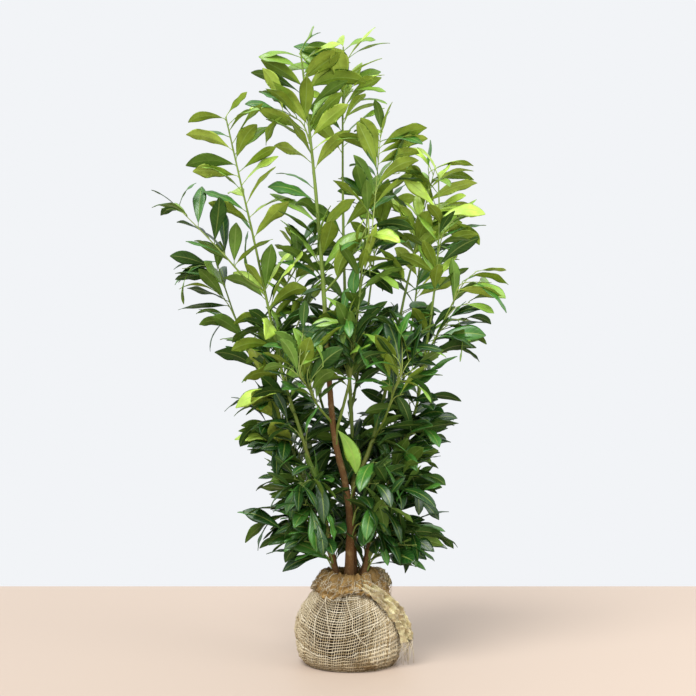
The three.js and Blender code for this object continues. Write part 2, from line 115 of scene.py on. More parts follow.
SPRAYS = {
    "left_leader_top": Spray(1, "fresh", size=1.1, gap=0.6),
    "centre_top": Spray(1, "fresh", size=1.04, gap=0.6),
    "left_top": Spray(0, "fresh", size=1.08, gap=0.64),
    "far_left_top": Spray(2, "shaded", leader="far_left_bough", size=1.0, gap=0.8),
    "right_inner_top": Spray(3, "turning", leader="front_bough", size=1.06, gap=0.85),
    "right_top": Spray(3, "fresh", leader="fork_bough", size=1.05, gap=0.8),
    "back_centre_top": Spray(2, "turning", leader="back_centre_bough", size=1.05, gap=0.85),
    "back_left_top": Spray(3, "turning", leader="back_left_bough", size=1.0, gap=0.9),
    "back_right_top": Spray(3, "turning", size=1.05, gap=0.85),
    "left_leader_middle": Spray(1, "turning", size=1.08, gap=0.85),
    "centre_middle": Spray(1, "turning", size=1.05, gap=0.85),
    "right_inner_middle": Spray(3, "turning", leader="inner_right_bough", size=1.0, gap=0.95),
    "left_middle": Spray(1, "turning", size=1.08, gap=0.85),
    "inner_left": Spray(2, "shaded", leader="inner_left_bough"),
    "far_left_middle": Spray(3, "shaded", size=1.0, gap=0.9),
    "far_left_low": Spray(2, "shaded", size=1.0, gap=0.9),
    "right_middle": Spray(3, "turning"),
    "far_right": Spray(2, "turning", leader="far_right_bough"),
    "far_right_low": Spray(4, "shaded"),
    "heart": Spray(12, "shaded"),
    "left_heart": Spray(9, "shaded"),
    "right_heart": Spray(10, "shaded"),
    "left_low": Spray(11, "deep"),
    "right_low": Spray(11, "deep"),
    "left_waist": Spray(9, "deep"),
    "right_waist": Spray(9, "deep"),
    "trunk_side": Spray(9, "deep"),
    "front_left_low": Spray(9, "deep"),
    "front_right_low": Spray(9, "deep"),
    "front_left": Spray(8, "shaded", leader="front_left_bough"),
    "front_right": Spray(8, "shaded", leader="front_right_bough"),
    "front_heart": Spray(10, "shaded"),
    "back_left_low": Spray(9, "deep"),
    "back_right_low": Spray(9, "deep"),
    "back_heart": Spray(13, "shaded"),
    "skirt_left": Spray(8, "deep"),
    "skirt_right": Spray(8, "deep"),
    "skirt_back": Spray(12, "deep"),
}

# How often each palette deals each tint.
PALETTES = {
    "fresh": {"lime": 0.5, "spring": 0.38, "leaf": 0.12},
    "turning": {"lime": 0.13, "spring": 0.42, "leaf": 0.32, "deep": 0.13},
    "shaded": {"spring": 0.2, "leaf": 0.44, "deep": 0.36},
    "deep": {"leaf": 0.3, "deep": 0.7},
}


def paint(code):
    """A linear colour from a six-figure display code."""
    shares = [int(code[i : i + 2], 16) / 255 for i in (0, 2, 4)]
    return tuple(c / 12.92 if c <= 0.04045 else ((c + 0.055) / 1.055) ** 2.4 for c in shares)


# ---- settings ----------------------------------------------------------------------------


def length(label, description, default):
    return bpy.props.FloatProperty(
        name=label, description=description, default=default, min=0.0, unit="LENGTH"
    )


def angle(label, description, default):
    return bpy.props.FloatProperty(
        name=label, description=description, default=math.radians(default), subtype="ANGLE"
    )


def share(label, description, default):
    return bpy.props.FloatProperty(
        name=label, description=description, default=default, min=0.0, subtype="FACTOR"
    )


def colour(label, description, code):
    return bpy.props.FloatVectorProperty(
        name=label, description=description, default=paint(code), size=3, min=0, max=1, subtype="COLOR"
    )


class LeafSettings(bpy.types.PropertyGroup):
    """Sizes and colours of the leaves and the shoots that carry them."""

    growth: bpy.props.IntProperty(
        name="Growth", description="Which of many such shrubs the rule grows", default=9, min=0
    )
    blade: length("Blade", "Length of a full-grown leaf blade", 0.160)
    slimness: share("Slimness", "Width of a blade as a share of its length", 0.34)
    petiole: length("Petiole", "Length of a leaf's stalk", 0.011)
    thickness: length("Thickness", "Thickness of a blade", 0.0006)
    internode: length("Internode", "Distance from leaf to leaf along a shoot", 0.029)
    fold: angle("Fold", "How far each half of a blade is folded up from flat", 17)
    droop: angle("Droop", "How far a blade bends down from its foot to its tip", 46)
    shoot: length("Shoot", "Radius of a shoot where it leaves its limb", 0.0027)
    lime_upper: colour("Lime", "Upper face of the youngest leaves", "ABCB4C")
    lime_under: colour("Lime underside", "Lower face of the youngest leaves", "9AB044")
    spring_upper: colour("Spring", "Upper face of young leaves", "7BA336")
    spring_under: colour("Spring underside", "Lower face of young leaves", "7C942E")
    leaf_upper: colour("Leaf", "Upper face of full-grown leaves", "3B7024")
    leaf_under: colour("Leaf underside", "Lower face of full-grown leaves", "5C7C2C")
    deep_upper: colour("Deep", "Upper face of old leaves", "163F0F")
    deep_under: colour("Deep underside", "Lower face of old leaves", "34561C")
    rib: colour("Midrib", "Midribs and leaf stalks", "93A64C")


class BarkSettings(bpy.types.PropertyGroup):
    """Sizes and colours of the bark."""

    ring: length("Ring", "Distance from ring to ring of the bark's mesh", 0.005)
    relief: length("Relief", "Depth of the bark's wrinkles", 0.0007)
    brown: colour("Brown bark", "Bark of the old wood", "735028")
    grey: colour("Grey film", "Weathered film on the old bark", "957F50")
    green: colour("Green bark", "Bark of young wood", "71882F")
    pore: colour("Pores", "Breathing pores in the bark", "9A8058")
    browning: length("Browning", "Height below which the trunk's bark is brown", 0.95)


class BallSettings(bpy.types.PropertyGroup):
    """Sizes and colours of the root ball and its cloth."""

    warp: length("Warp", "Half the width of an upright thread where the weave is open", 0.0009)
    weft: length("Weft", "Half the width of a cross thread where the weave is open", 0.0013)
    closing: share("Closing", "Share of the gaps that threads fill where the weave is closed", 0.68)
    fold: length("Folds", "Depth of the folds that run down from the collar", 0.004)
    lump: length("Lumps", "Depth of the clods under the cloth", 0.004)
    pale: colour("Pale jute", "Clean threads", "ECE0C4")
    jute: colour("Jute", "Threads", "D8C8A6")
    dirty: colour("Dirty jute", "Threads stained with soil", "AE9A74")
    gold: colour("Gathered jute", "The thick folds round the stems", "A58550")
    loose: colour("Loose jute", "The loose ends of the cloth", "F2DAAC")
    soil: colour("Soil", "Soil between the threads", "21160B")
    stain: colour("Stain", "Damp soil on cloth", "75603F")


class StudioSettings(bpy.types.PropertyGroup):
    """The floor, the lights and the camera."""

    distance: length("Distance", "From the camera to the plant's middle", 3.2)
    height: length("Height", "Height of the camera's lens", 0.746)
    tilt: angle("Tilt", "How far the camera looks up", 2.95)
    focal: bpy.props.FloatProperty(
        name="Focal length", description="Of the lens, on a 36 mm sensor", default=56.28, unit="CAMERA"
    )
    floor: length("Floor", "From the plant's middle to the floor's edge", 1.31)
    boards: colour("Floor colour", "Of the plain floor", "BCAA9A")
    wall: colour("Backdrop colour", "Of the light all round", "F2F4F7")
    key: bpy.props.FloatProperty(
        name="Key", description="Strength of the soft light from the upper left", default=3.2
    )
    softness: angle("Softness", "How wide the key light looks from the plant", 36)
    fill: bpy.props.FloatProperty(
        name="Fill", description="Power of the weaker light across from it", default=45.0, unit="POWER"
    )


SETTINGS = {
    "shrub_leaves": LeafSettings,
    "shrub_bark": BarkSettings,
    "shrub_ball": BallSettings,
    "shrub_studio": StudioSettings,
}


# ---- shader maths ------------------------------------------------------------------------

NOISE_ROUGHNESS = 0.55  # how strong the finer layers of every noise are
JUTE_SHINE = 0.2
SOIL_SHINE = 0.15


class Wire:
    """A number that a node gives out, with the arithmetic that adds Math nodes to it."""

    def __init__(self, finish, socket):
        self.finish = finish
        self.socket = socket

    def __add__(self, other):
        return self.finish.maths("ADD", self, other)

    def __sub__(self, other):
        return self.finish.maths("SUBTRACT", self, other)

    def __rsub__(self, other):
        return self.finish.maths("SUBTRACT", other, self)

    def __mul__(self, other):
        return self.finish.maths("MULTIPLY", self, other)

    def __pow__(self, other):
        return self.finish.maths("POWER", self, other)

    def __abs__(self):
        return self.finish.maths("ABSOLUTE", self)

    def fraction(self):
        return self.finish.maths("FRACT", self)

    def clamped(self):
        return self.finish.maths("ADD", self, 0.0, use_clamp=True)

    def between(self, low, high):
        """0 below low, 1 above high, and smooth between them."""
        node = self.finish.node(
            "ShaderNodeMapRange",
            {"interpolation_type": "SMOOTHSTEP"},
            {"Value": self, "From Min": low, "From Max": high},
        )
        return Wire(self.finish, node.outputs["Result"])


class Finish:
    """A material in the making: one Principled shader and the nodes that feed it."""

    def __init__(self, name, **constants):
        self.material = bpy.data.materials.new(name)
        self.material.use_nodes = True
        self.tree = self.material.node_tree
        self.shader = self.tree.nodes["Principled BSDF"]
        self.feed(constants)

    def feed(self, sockets, node=None):
        """Sets or links the named sockets of a node, or of the shader."""
        target = node or self.shader
        for key, value in sockets.items():
            socket = target.inputs[key]
            if isinstance(value, Wire):
                self.tree.links.new(value.socket, socket)
            elif isinstance(value, bpy.types.NodeSocket):
                self.tree.links.new(value, socket)
            elif isinstance(value, tuple) and len(value) == 3 and socket.type == "RGBA":
                socket.default_value = (*value, 1.0)
            else:
                socket.default_value = value

    def node(self, kind, settings=None, sockets=None):
        made = self.tree.nodes.new(kind)
        for key, value in (settings or {}).items():
            setattr(made, key, value)
        self.feed(sockets or {}, made)
        return made

    def maths(self, operation, *values, **settings):
        sockets = dict(enumerate(values))
        node = self.node("ShaderNodeMath", {"operation": operation, **settings}, sockets)
        return Wire(self, node.outputs[0])

    def mix(self, factor, first, second):
        """A colour between two colours."""
        sockets = {0: factor, 6: first, 7: second}
        return self.node("ShaderNodeMix", {"data_type": "RGBA"}, sockets).outputs[2]

    def place(self):
        """Where a point of the surface is, in the piece's own space."""
        return self.node("ShaderNodeTexCoord").outputs["Object"]

    def scaled(self, vector, factors):
        node = self.node("ShaderNodeVectorMath", {"operation": "MULTIPLY"}, {0: vector})
        node.inputs[1].default_value = factors
        return node.outputs[0]

    def parts(self, vector):
        node = self.node("ShaderNodeSeparateXYZ", sockets={0: vector})
        return [Wire(self, socket) for socket in node.outputs]

    def cloud(self, scale, detail=3.0, vector=None):
        """Noise from 0 to 1, scale lumps to the metre."""
        sockets = {"Vector": vector or self.place(), "Scale": scale, "Detail": detail}
        node = self.node("ShaderNodeTexNoise", sockets={**sockets, "Roughness": NOISE_ROUGHNESS})
        return Wire(self, node.outputs[0])

    def cells(self, vector):
        """Distance to the nearest of scattered points, about one apart."""
        sockets = {"Vector": vector, "Scale": 1.0}
        return Wire(self, self.node("ShaderNodeTexVoronoi", sockets=sockets).outputs["Distance"])

    def bump(self, height, depth, strength):
        """Tilts the surface as a relief of that depth would."""
        sockets = {"Height": height, "Distance": depth, "Strength": strength}
        self.feed({"Normal": self.node("ShaderNodeBump", sockets=sockets).outputs["Normal"]})


def shade(tone, factor):
    return tuple(min(1.0, c * factor) for c in tone)


def blade_finish(name, tone, rib, gloss, veins):
    """A face of a leaf: mottled, with pale side veins that sink into it."""
    finish = Finish(name, **{"Specular IOR Level": 0.2 + 0.35 * gloss})
    across, along, _ = finish.parts(finish.node("ShaderNodeUVMap").outputs["UV"])
    outward = abs(across * 2.0 - 1.0)
    phase = (along * 10.0 - outward * 1.3).fraction()
    vein = (abs(phase - 0.5) * 2.0) ** 9.0 * (1.0 - outward.between(0.75, 1.0))
    mottle = finish.cloud(26.0).between(0.32, 0.68)
    fine = finish.cloud(240.0, detail=2.0)
    base = finish.mix(mottle, shade(tone, 0.8), shade(tone, 1.16))
    base = finish.mix(vein * veins, base, rib)
    finish.feed({"Base Color": base, "Roughness": fine * 0.16 + (0.6 - 0.34 * gloss)})
    finish.bump(fine * 0.25 - vein, 0.0005, 0.5)
    return finish.material


def rib_finish(name, tone):
    finish = Finish(name)
    streak = finish.cloud(90.0, detail=2.0)
    finish.feed({"Base Color": finish.mix(streak, shade(tone, 0.82), shade(tone, 1.1))})
    finish.feed({"Roughness": streak * 0.2 + 0.35})
    finish.bump(finish.cloud(700.0), 0.0003, 0.4)
    return finish.material


def bark_finish(name, old, film, young, pore, low, high):
    """Bark that is old below, young above, and mingled between the two heights."""
    finish = Finish(name)
    height = finish.parts(finish.place())[2]
    mingled = (height + (finish.cloud(9.0) - 0.5) * 0.22).between(low, high)
    wrinkled = finish.cloud(1.0, vector=finish.scaled(finish.place(), (260.0, 260.0, 60.0)))
    film_mask = finish.cloud(34.0, detail=4.0).between(0.5, 0.72)
    aged_bark_and_shaded_weave = finish.mix(film_mask * 0.7, finish.mix(wrinkled, shade(old, 0.6), shade(old, 1.2)), film)
    fresh = finish.mix(finish.cloud(30.0), shade(young, 0.82), shade(young, 1.12))
    dots = finish.cells(finish.scaled(finish.place(), (150.0, 150.0, 260.0)))
    pores = 1.0 - dots.between(0.12, 0.24)
    both = finish.mix(mingled, aged_bark_and_shaded_weave, fresh)
    finish.feed({"Base Color": finish.mix(pores * (1.0 - mingled * 0.7) * 0.8, both, pore)})
    finish.feed({"Roughness": 0.82 - mingled * 0.3 + wrinkled * 0.1})
    finish.bump(wrinkled * (1.0 - mingled * 0.75) + pores * 0.5, 0.0009, 0.7)
    return finish.material


def thread_finish(name, tone, stain):
    """Jute yarn: twisted fibres along its length, stained in patches, and darker towards the bottom."""
    finish = Finish(name, **{"Specular IOR Level": JUTE_SHINE})
    around, along, _ = finish.parts(finish.node("ShaderNodeUVMap").outputs["UV"])
    ply = abs((around * 2.0 + along).fraction() - 0.5) * 2.0
    patches = finish.cloud(20.0, detail=4.0).between(0.46, 0.74)
    # Darker in the stain colour towards the bottom, in the lowest five centimetres.
    low = 1.0 - finish.parts(finish.place())[2].between(0.004, 0.05)
    yarn = finish.mix(ply, shade(tone, 0.46), shade(tone, 1.04))
    stains_and_darker_foot = (patches * 0.55 + low * 0.6).clamped()
    finish.feed({"Base Color": finish.mix(stains_and_darker_foot, yarn, stain)})
    finish.feed({"Roughness": 0.95 - ply * 0.12})
    finish.bump(ply + finish.cloud(900.0) * 0.8, 0.0004, 0.8)
    return finish.material


def cloth_finish(name, tone, stain, count):
    """Woven jute, count threads to the width and the length of its map, with noise patches of a darker copy
    of its weave as painted shade.
    """
    finish = Finish(name, **{"Specular IOR Level": JUTE_SHINE})
    across, along, _ = finish.parts(finish.node("ShaderNodeUVMap").outputs["UV"])
    warp = abs((across * count).fraction() - 0.5) * 2.0
    weft = abs((along * count).fraction() - 0.5) * 2.0
    weave = (1.0 - warp * weft).clamped()
    patches = finish.cloud(24.0, detail=4.0).between(0.42, 0.75)
    yarn = finish.mix(weave, shade(tone, 0.22), shade(tone, 1.35))
    # Painted shade: a darker copy of the weave, laid over it in noise patches.
    aged_bark_and_shaded_weave = finish.mix(weave, shade(tone, 0.15), shade(tone, 0.85))
    # The weave with those patches of painted shade.
    worn = finish.mix(finish.cloud(60.0, detail=4.0).between(0.3, 0.7), aged_bark_and_shaded_weave, yarn)
    finish.feed({"Base Color": finish.mix(patches * 0.55, worn, stain)})
    finish.feed({"Roughness": 0.95 - weave * 0.1})
    finish.bump(weave + finish.cloud(500.0) * 0.5, 0.0013, 0.9)
    return finish.material


def soil_and_gap_shade_finish(name, soil, cloth, stain):
    """Soil that shows at the open front of the weave, and everywhere else the jute darkened as painted shade
    between the close threads.
    """
    finish = Finish(name, **{"Specular IOR Level": SOIL_SHINE})
    x, y, z = finish.parts(finish.place())
    offset = ((x + 0.035) * 9.5) ** 2.0 + ((z - 0.12) * 10.5) ** 2.0
    closed = (offset + (finish.cloud(14.0) - 0.5) * 0.9 + y.between(-0.08, 0.02) * 2.0).between(0.45, 1.5)
    clods = finish.cloud(70.0, detail=5.0)
    earth = finish.mix(clods, shade(soil, 0.4), shade(soil, 1.3))
    # The jute's own colour at a third to three fifths: painted shade seen between the close threads.
    gap_shaded_jute = finish.mix(clods, shade(cloth, 0.3), shade(cloth, 0.6))
    # Darker in the stain colour towards the bottom, in the lowest four and a half centimetres.
    low = 1.0 - z.between(0.004, 0.045)
    finish.feed({"Base Color": finish.mix(low * 0.75, finish.mix(closed * 0.85, earth, gap_shaded_jute), stain)})
    finish.feed({"Roughness": clods * 0.1 + 0.88})
    finish.bump(clods, 0.003, 0.8)
    return finish.material


def plain_finish(name, tone, roughness):
    finish = Finish(name)
    drift = finish.cloud(1.6, detail=2.0)
    finish.feed({"Base Color": finish.mix(drift, shade(tone, 0.97), shade(tone, 1.03))})
    finish.feed({"Roughness": drift * 0.05 + roughness})
    return finish.material


# ---- meshes from arrays ------------------------------------------------------------------


class Heap:
    """Vertices, faces, UVs and finishes gathered for one joined mesh."""

    def __init__(self):
        self.corners = []
        self.maps = []
        self.faces = {3: [], 4: []}
        self.finishes = {3: [], 4: []}
        self.count = 0

    def add(self, corners, uv, faces, finish=0):
        """Adds vertices with a UV each, and faces of three or four of them."""
        sides = faces.shape[1]
        self.corners.append(corners)
        self.maps.append(uv)
        self.faces[sides].append(faces + self.count)
        self.finishes[sides].append(np.broadcast_to(finish, len(faces)))
        self.count += len(corners)

    def add_faces(self, faces, finish=0):
        """Adds faces between the vertices of the last addition."""
        sides = faces.shape[1]
        self.faces[sides].append(faces + self.count - len(self.corners[-1]))
        self.finishes[sides].append(np.broadcast_to(finish, len(faces)))

    def piece(self, name, finishes, slot, nodes):
        """Joins the mesh to an object that rides on the plant and stands for the nodes."""
        corners = np.concatenate(self.corners)
        uv = np.concatenate(self.maps)
        loops, sizes, worn = [], [], []
        for sides, groups in self.faces.items():
            if groups:
                faces = np.concatenate(groups)
                loops.append(faces.ravel())
                sizes.append(np.full(len(faces), sides))
                worn.append(np.concatenate(self.finishes[sides]))
        loops = np.concatenate(loops).astype(np.int32)
        sizes = np.concatenate(sizes).astype(np.int32)
        mesh = bpy.data.meshes.new(name)
        mesh.vertices.add(len(corners))
        mesh.vertices.foreach_set("co", corners.astype(np.float32).ravel())
        mesh.loops.add(len(loops))
        mesh.loops.foreach_set("vertex_index", loops)
        mesh.polygons.add(len(sizes))
        mesh.polygons.foreach_set("loop_start", (np.cumsum(sizes) - sizes).astype(np.int32))
        mesh.polygons.foreach_set("material_index", np.concatenate(worn).astype(np.int32))
        mesh.polygons.foreach_set("use_smooth", np.ones(len(sizes), bool))
        layer = mesh.uv_layers.new(name="Map")
        layer.data.foreach_set("uv", uv[loops].astype(np.float32).ravel())
        mesh.update(calc_edges=True)
        mesh.validate()
        for material in finishes:
            mesh.materials.append(material)
        piece = bpy.data.objects.new(name, mesh)
        bpy.context.scene.collection.objects.link(piece)
        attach(piece, "root")
        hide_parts(*nodes)


def uv_grid(across, along):
    """One UV for each pairing of the two."""
    return np.stack(np.broadcast_arrays(across, along), -1).reshape(-1, 2)


def offset_grid(points, *offsets):
    """A row of places at each point, moved by amounts along the directions there."""
    places = points[:, None, :]
    for directions, amounts in offsets:
        places = places + directions[:, None, :] * amounts[..., None]
    return places


def unit(vectors):
    return vectors / np.maximum(np.linalg.norm(vectors, axis=-1, keepdims=True), 1e-12)


def tangents(points):
    return unit(np.gradient(points, axis=0))


def carried_normals(points, first=None):
    """A normal at each point of a path, turned no more than the path itself turns."""
    along = tangents(points)
    normal = np.cross(along[0], (0.3, 0.9, 0.2)) if first is None else np.asarray(first)
    normals = []
    for direction in along:
        normal = unit(normal - direction * normal.dot(direction))
        normals.append(normal)
    return np.array(normals)


def skin(rings, sides, looped=False):
    """The quads of a tube whose rings follow each other in the vertex list."""
    ring = np.arange(rings if looped else rings - 1)[:, None]
    side = np.arange(sides)[None, :]
    here = ring * sides
    there = ((ring + 1) % rings) * sides
    after = (side + 1) % sides
    return np.stack((here + side, here + after, there + after, there + side), -1).reshape(-1, 4)


def fan(ring, back=False):
    """Triangles that close a ring of vertices."""
    first = np.full(len(ring) - 2, ring[0])
    faces = np.stack((first, ring[1:-1], ring[2:]), -1)
    return faces[:, ::-1] if back else faces


def caps(rings, sides, flip=False):
    """Triangles that close both ends of a tube."""
    ring = np.arange(sides)
    return np.concatenate((fan(ring, flip), fan(ring + (rings - 1) * sides, not flip)))


def reach_along(points):
    """Distance from the first point, along the path, to each point."""
    return np.concatenate(((0.0,), np.cumsum(np.linalg.norm(np.diff(points, axis=0), axis=1))))


def between_points(stations, reach, points):
    """The places at the given distances along a path."""
    return np.stack([np.interp(stations, reach, points[:, k]) for k in range(3)], -1)


def add_tube(heap, points, normals, half_width, half_height, sides, finish=0, looped=False, turns=1.0):
    """A closed tube along a path, wide across the normals and high along them."""
    rings = len(points)
    along = unit(np.roll(points, -1, 0) - np.roll(points, 1, 0)) if looped else tangents(points)
    across = unit(np.cross(along, normals))
    around = np.arange(sides) / sides * TURN
    half_width = np.broadcast_to(half_width, rings)[:, None, None]
    half_height = np.broadcast_to(half_height, rings)[:, None, None]
    sideways = np.cos(around)[None, :, None] * across[:, None, :] * half_width
    outward = np.sin(around)[None, :, None] * normals[:, None, :] * half_height
    corners = (points[:, None, :] + sideways + outward).reshape(-1, 3)
    uv = uv_grid(np.arange(sides)[None, :] / sides, reach_along(points)[:, None] * turns)
    heap.add(corners, uv, skin(rings, sides, looped)[:, ::-1], finish)
    if not looped:
        heap.add_faces(caps(rings, sides), finish)


def smooth_path(points, spacing):
    """Points evenly spaced along a Catmull-Rom curve through the given ones."""
    points = np.asarray(points, float)
    ends = np.concatenate(([2 * points[0] - points[1]], points, [2 * points[-1] - points[-2]]))
    t = np.linspace(0, 1, 16, endpoint=False)[:, None]
    stretches = []
    for a, b, c, d in zip(ends, ends[1:], ends[2:], ends[3:]):
        curve = 2 * b + (c - a) * t + (2 * a - 5 * b + 4 * c - d) * t**2 + (3 * b - a - 3 * c + d) * t**3
        stretches.append(curve / 2)
    return evenly(np.concatenate((*stretches, points[-1:])), spacing)


def evenly(points, spacing):
    """About the given distance from point to point along the same path."""
    reach = reach_along(points)
    count = max(3, int(round(reach[-1] / spacing)) + 1)
    return between_points(np.linspace(0, reach[-1], count), reach, points)


# ---- the frame's solids ------------------------------------------------------------------


LIMB_STEP = 0.005  # from point to point of a limb's centreline
CUT_SHARES = np.linspace(0.02, 0.995, 12) ** 1.4  # where a limb is cut across, closest at its foot
FOOT_OVERRUN = 0.008  # how far a centreline starts below its first cut
INNER_SHARE = 0.9  # about what the inner radius of a cut is of its full one


def solid_arrays(node):
    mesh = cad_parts[node].data
    corners = np.array([v.co for v in mesh.vertices])
    faces = np.array([p.vertices for p in mesh.polygons])
    return corners, faces


def solid_tree(node):
    corners, faces = solid_arrays(node)
    return BVHTree.FromPolygons(corners.tolist(), faces.tolist())


def outside_by(tree, point):
    """How far a point is outside a solid, or minus its depth inside."""
    near, normal, _, distance = tree.find_nearest(Vector(point))
    return distance if (Vector(point) - near).dot(normal) > 0 else -distance


class Limb:
    """A limb's centreline and its radius, from foot to tip."""

    def __init__(self, points, radii):
        self.points = points
        self.radii = np.broadcast_to(radii, len(points))
        self.directions = tangents(points)
        self.reach = reach_along(points)
        self.length = self.reach[-1]

    def at(self, distance):
        """The point, direction and radius at a distance from the foot."""
        point = between_points(distance, self.reach, self.points)
        direction = between_points(distance, self.reach, self.directions)
        return point, unit(direction), np.interp(distance, self.reach, self.radii)


def section(corners, faces, axis, level):
    """Middle and inner radius of the cut that a plane makes through a solid."""
    middles = []
    spans = []
    heights = corners @ axis - level
    for face in faces:
        cuts = []
        for a, b in ((0, 1), (1, 2), (2, 0)):
            ha, hb = heights[face[a]], heights[face[b]]
            if (ha < 0) != (hb < 0):
                cuts.append(corners[face[a]] + (corners[face[b]] - corners[face[a]]) * ha / (ha - hb))
        if len(cuts) == 2:
            middles.append((cuts[0] + cuts[1]) / 2)
            spans.append(np.linalg.norm(cuts[0] - cuts[1]))
    middles = np.array(middles)
    centre = np.average(middles, axis=0, weights=np.array(spans) + 1e-9)
    return centre, np.linalg.norm(middles - centre, axis=1).min()


def measured_limb(node):
    """The centreline of a limb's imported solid, read from cuts across it."""
    corners, faces = solid_arrays(node)
    lowest = corners[corners[:, 2].argmin()]
    highest = corners[corners[:, 2].argmax()]
    axis = unit(highest - lowest)
    levels = corners @ axis
    stations = levels.min() + (levels.max() - levels.min()) * CUT_SHARES
    cuts = [section(corners, faces, axis, level) for level in stations]
    centres = np.array([centre for centre, _ in cuts])
    radii = np.array([radius for _, radius in cuts]) / INNER_SHARE
    first = centres[0] - unit(centres[1] - centres[0]) * FOOT_OVERRUN
    last = centres[-1] + axis * (levels.max() - stations[-1])
    points = smooth_path(np.concatenate(([first], centres, [last])), LIMB_STEP)
    return Limb(points, np.interp(points @ axis, stations, radii))


LIMBS = {node: measured_limb(node) for node in (*STEMS, *BOUGHS)}
MASSES = {name: solid_tree(name + "_leaves") for name in SPRAYS}
SOLID_GROUND = [solid_tree("root_ball"), solid_tree("hessian_collar")]


# ---- leaves ------------------------------------------------------------------------------

BLADE_ROWS = 13
BLADE_COLUMNS = np.array((-1.0, -0.74, -0.4, -0.07, 0.07, 0.4, 0.74, 1.0))
UNDER_COLUMNS = BLADE_COLUMNS[-2:0:-1]
RING_COLUMNS = np.concatenate((BLADE_COLUMNS, UNDER_COLUMNS))
RIB_STRIPS = (3, 10)
UNDER_STRIPS = range(7, 14)
TINTS = ("lime", "spring", "leaf", "deep")
STALK_RADII = (0.0016, 0.0010)  # at its foot and at the blade
STALK_SIDES = 5


def leaf_path(leaf, rows=BLADE_ROWS):
    """Points, directions and sideways vectors along a leaf's midrib."""
    s = np.linspace(0, 1, rows)
    heading = leaf.heading + leaf.sweep * s**1.4
    rise = leaf.rise - leaf.droop * s**1.25
    ahead = np.stack((np.cos(heading), np.sin(heading), np.zeros(rows)), -1)
    along = ahead * np.cos(rise)[:, None] + UP * np.sin(rise)[:, None]
    middles = (along[1:] + along[:-1]) / 2 * leaf.length / (rows - 1)
    points = leaf.foot + np.concatenate((np.zeros((1, 3)), np.cumsum(middles, axis=0)))
    sideways = np.stack((-np.sin(heading), np.cos(heading), np.zeros(rows)), -1)
    return points, along, sideways


def add_leaf(heap, leaf, rng, settings, finish):
    """A closed thin blade, folded along its midrib, wavy at its edges."""
    points, along, sideways = leaf_path(leaf)
    s = np.linspace(0, 1, BLADE_ROWS)[:, None]
    roll = leaf.roll + rng.uniform(-0.8, 0.8) * s
    upward = np.cross(along, sideways)
    side = sideways * np.cos(roll) + upward * np.sin(roll)
    normal = np.cross(along, side)
    outline = np.sin(math.pi * np.clip(s, 0.004, 0.985) ** 1.22) ** 0.78 * (1 - 0.3 * s**12)
    half = leaf.length * settings.slimness * rng.uniform(0.44, 0.56) * outline
    u = RING_COLUMNS[None, :]
    edge = np.abs(u)
    fold = settings.fold * rng.uniform(0.3, 1.6) * (1 - 0.4 * s)
    depth = rng.uniform(0.03, 0.18)
    ripples = TURN * (rng.uniform(1.3, 2.6) * s + 0.5 * (u > 0))
    wave = depth * np.sin(ripples + rng.random() * 6)
    quilt = 0.014 * (-1.0) ** np.arange(BLADE_ROWS)[:, None] * edge * (1 - edge) * 4
    lift = half * (edge * np.sin(fold) - 0.22 * edge**3 + wave * edge**2 + quilt)
    under = np.arange(len(RING_COLUMNS))[None, :] >= len(BLADE_COLUMNS)
    keel = 1 + 1.6 * (edge < 0.1)
    lift = lift - under * settings.thickness * keel - ~under * 0.0003 * (edge < 0.1)
    slant = 0.05 * leaf.length * edge * np.sin(math.pi * s)
    wide = u * half * np.cos(fold)
    corners = offset_grid(points, (side, wide), (normal, lift), (along, slant))
    sides = len(RING_COLUMNS)
    uv = uv_grid((u + 1) / 2, s)
    strips = np.tile(np.arange(sides), BLADE_ROWS - 1)
    worn = np.where(np.isin(strips, UNDER_STRIPS), finish + 1, finish)
    worn = np.where(np.isin(strips, RIB_STRIPS), finish + 2, worn)
    heap.add(corners.reshape(-1, 3), uv, skin(BLADE_ROWS, sides)[:, ::-1], worn)
    heap.add_faces(caps(BLADE_ROWS, sides), finish)


def add_stalk(heap, start, leaf, settings, finish):
    """The stalk from the shoot's bark to the blade, thicker at its foot."""
    _, along, _ = leaf_path(leaf, 3)
    inside = leaf.foot + along[0] * 0.006
    bend = leaf.foot - along[0] * settings.petiole * 0.4
    points = smooth_path((start, bend, inside), settings.petiole / 3)
    radii = np.linspace(*STALK_RADII, len(points))
    add_tube(heap, points, carried_normals(points), radii, radii, STALK_SIDES, finish)


# ---- shoots ------------------------------------------------------------------------------


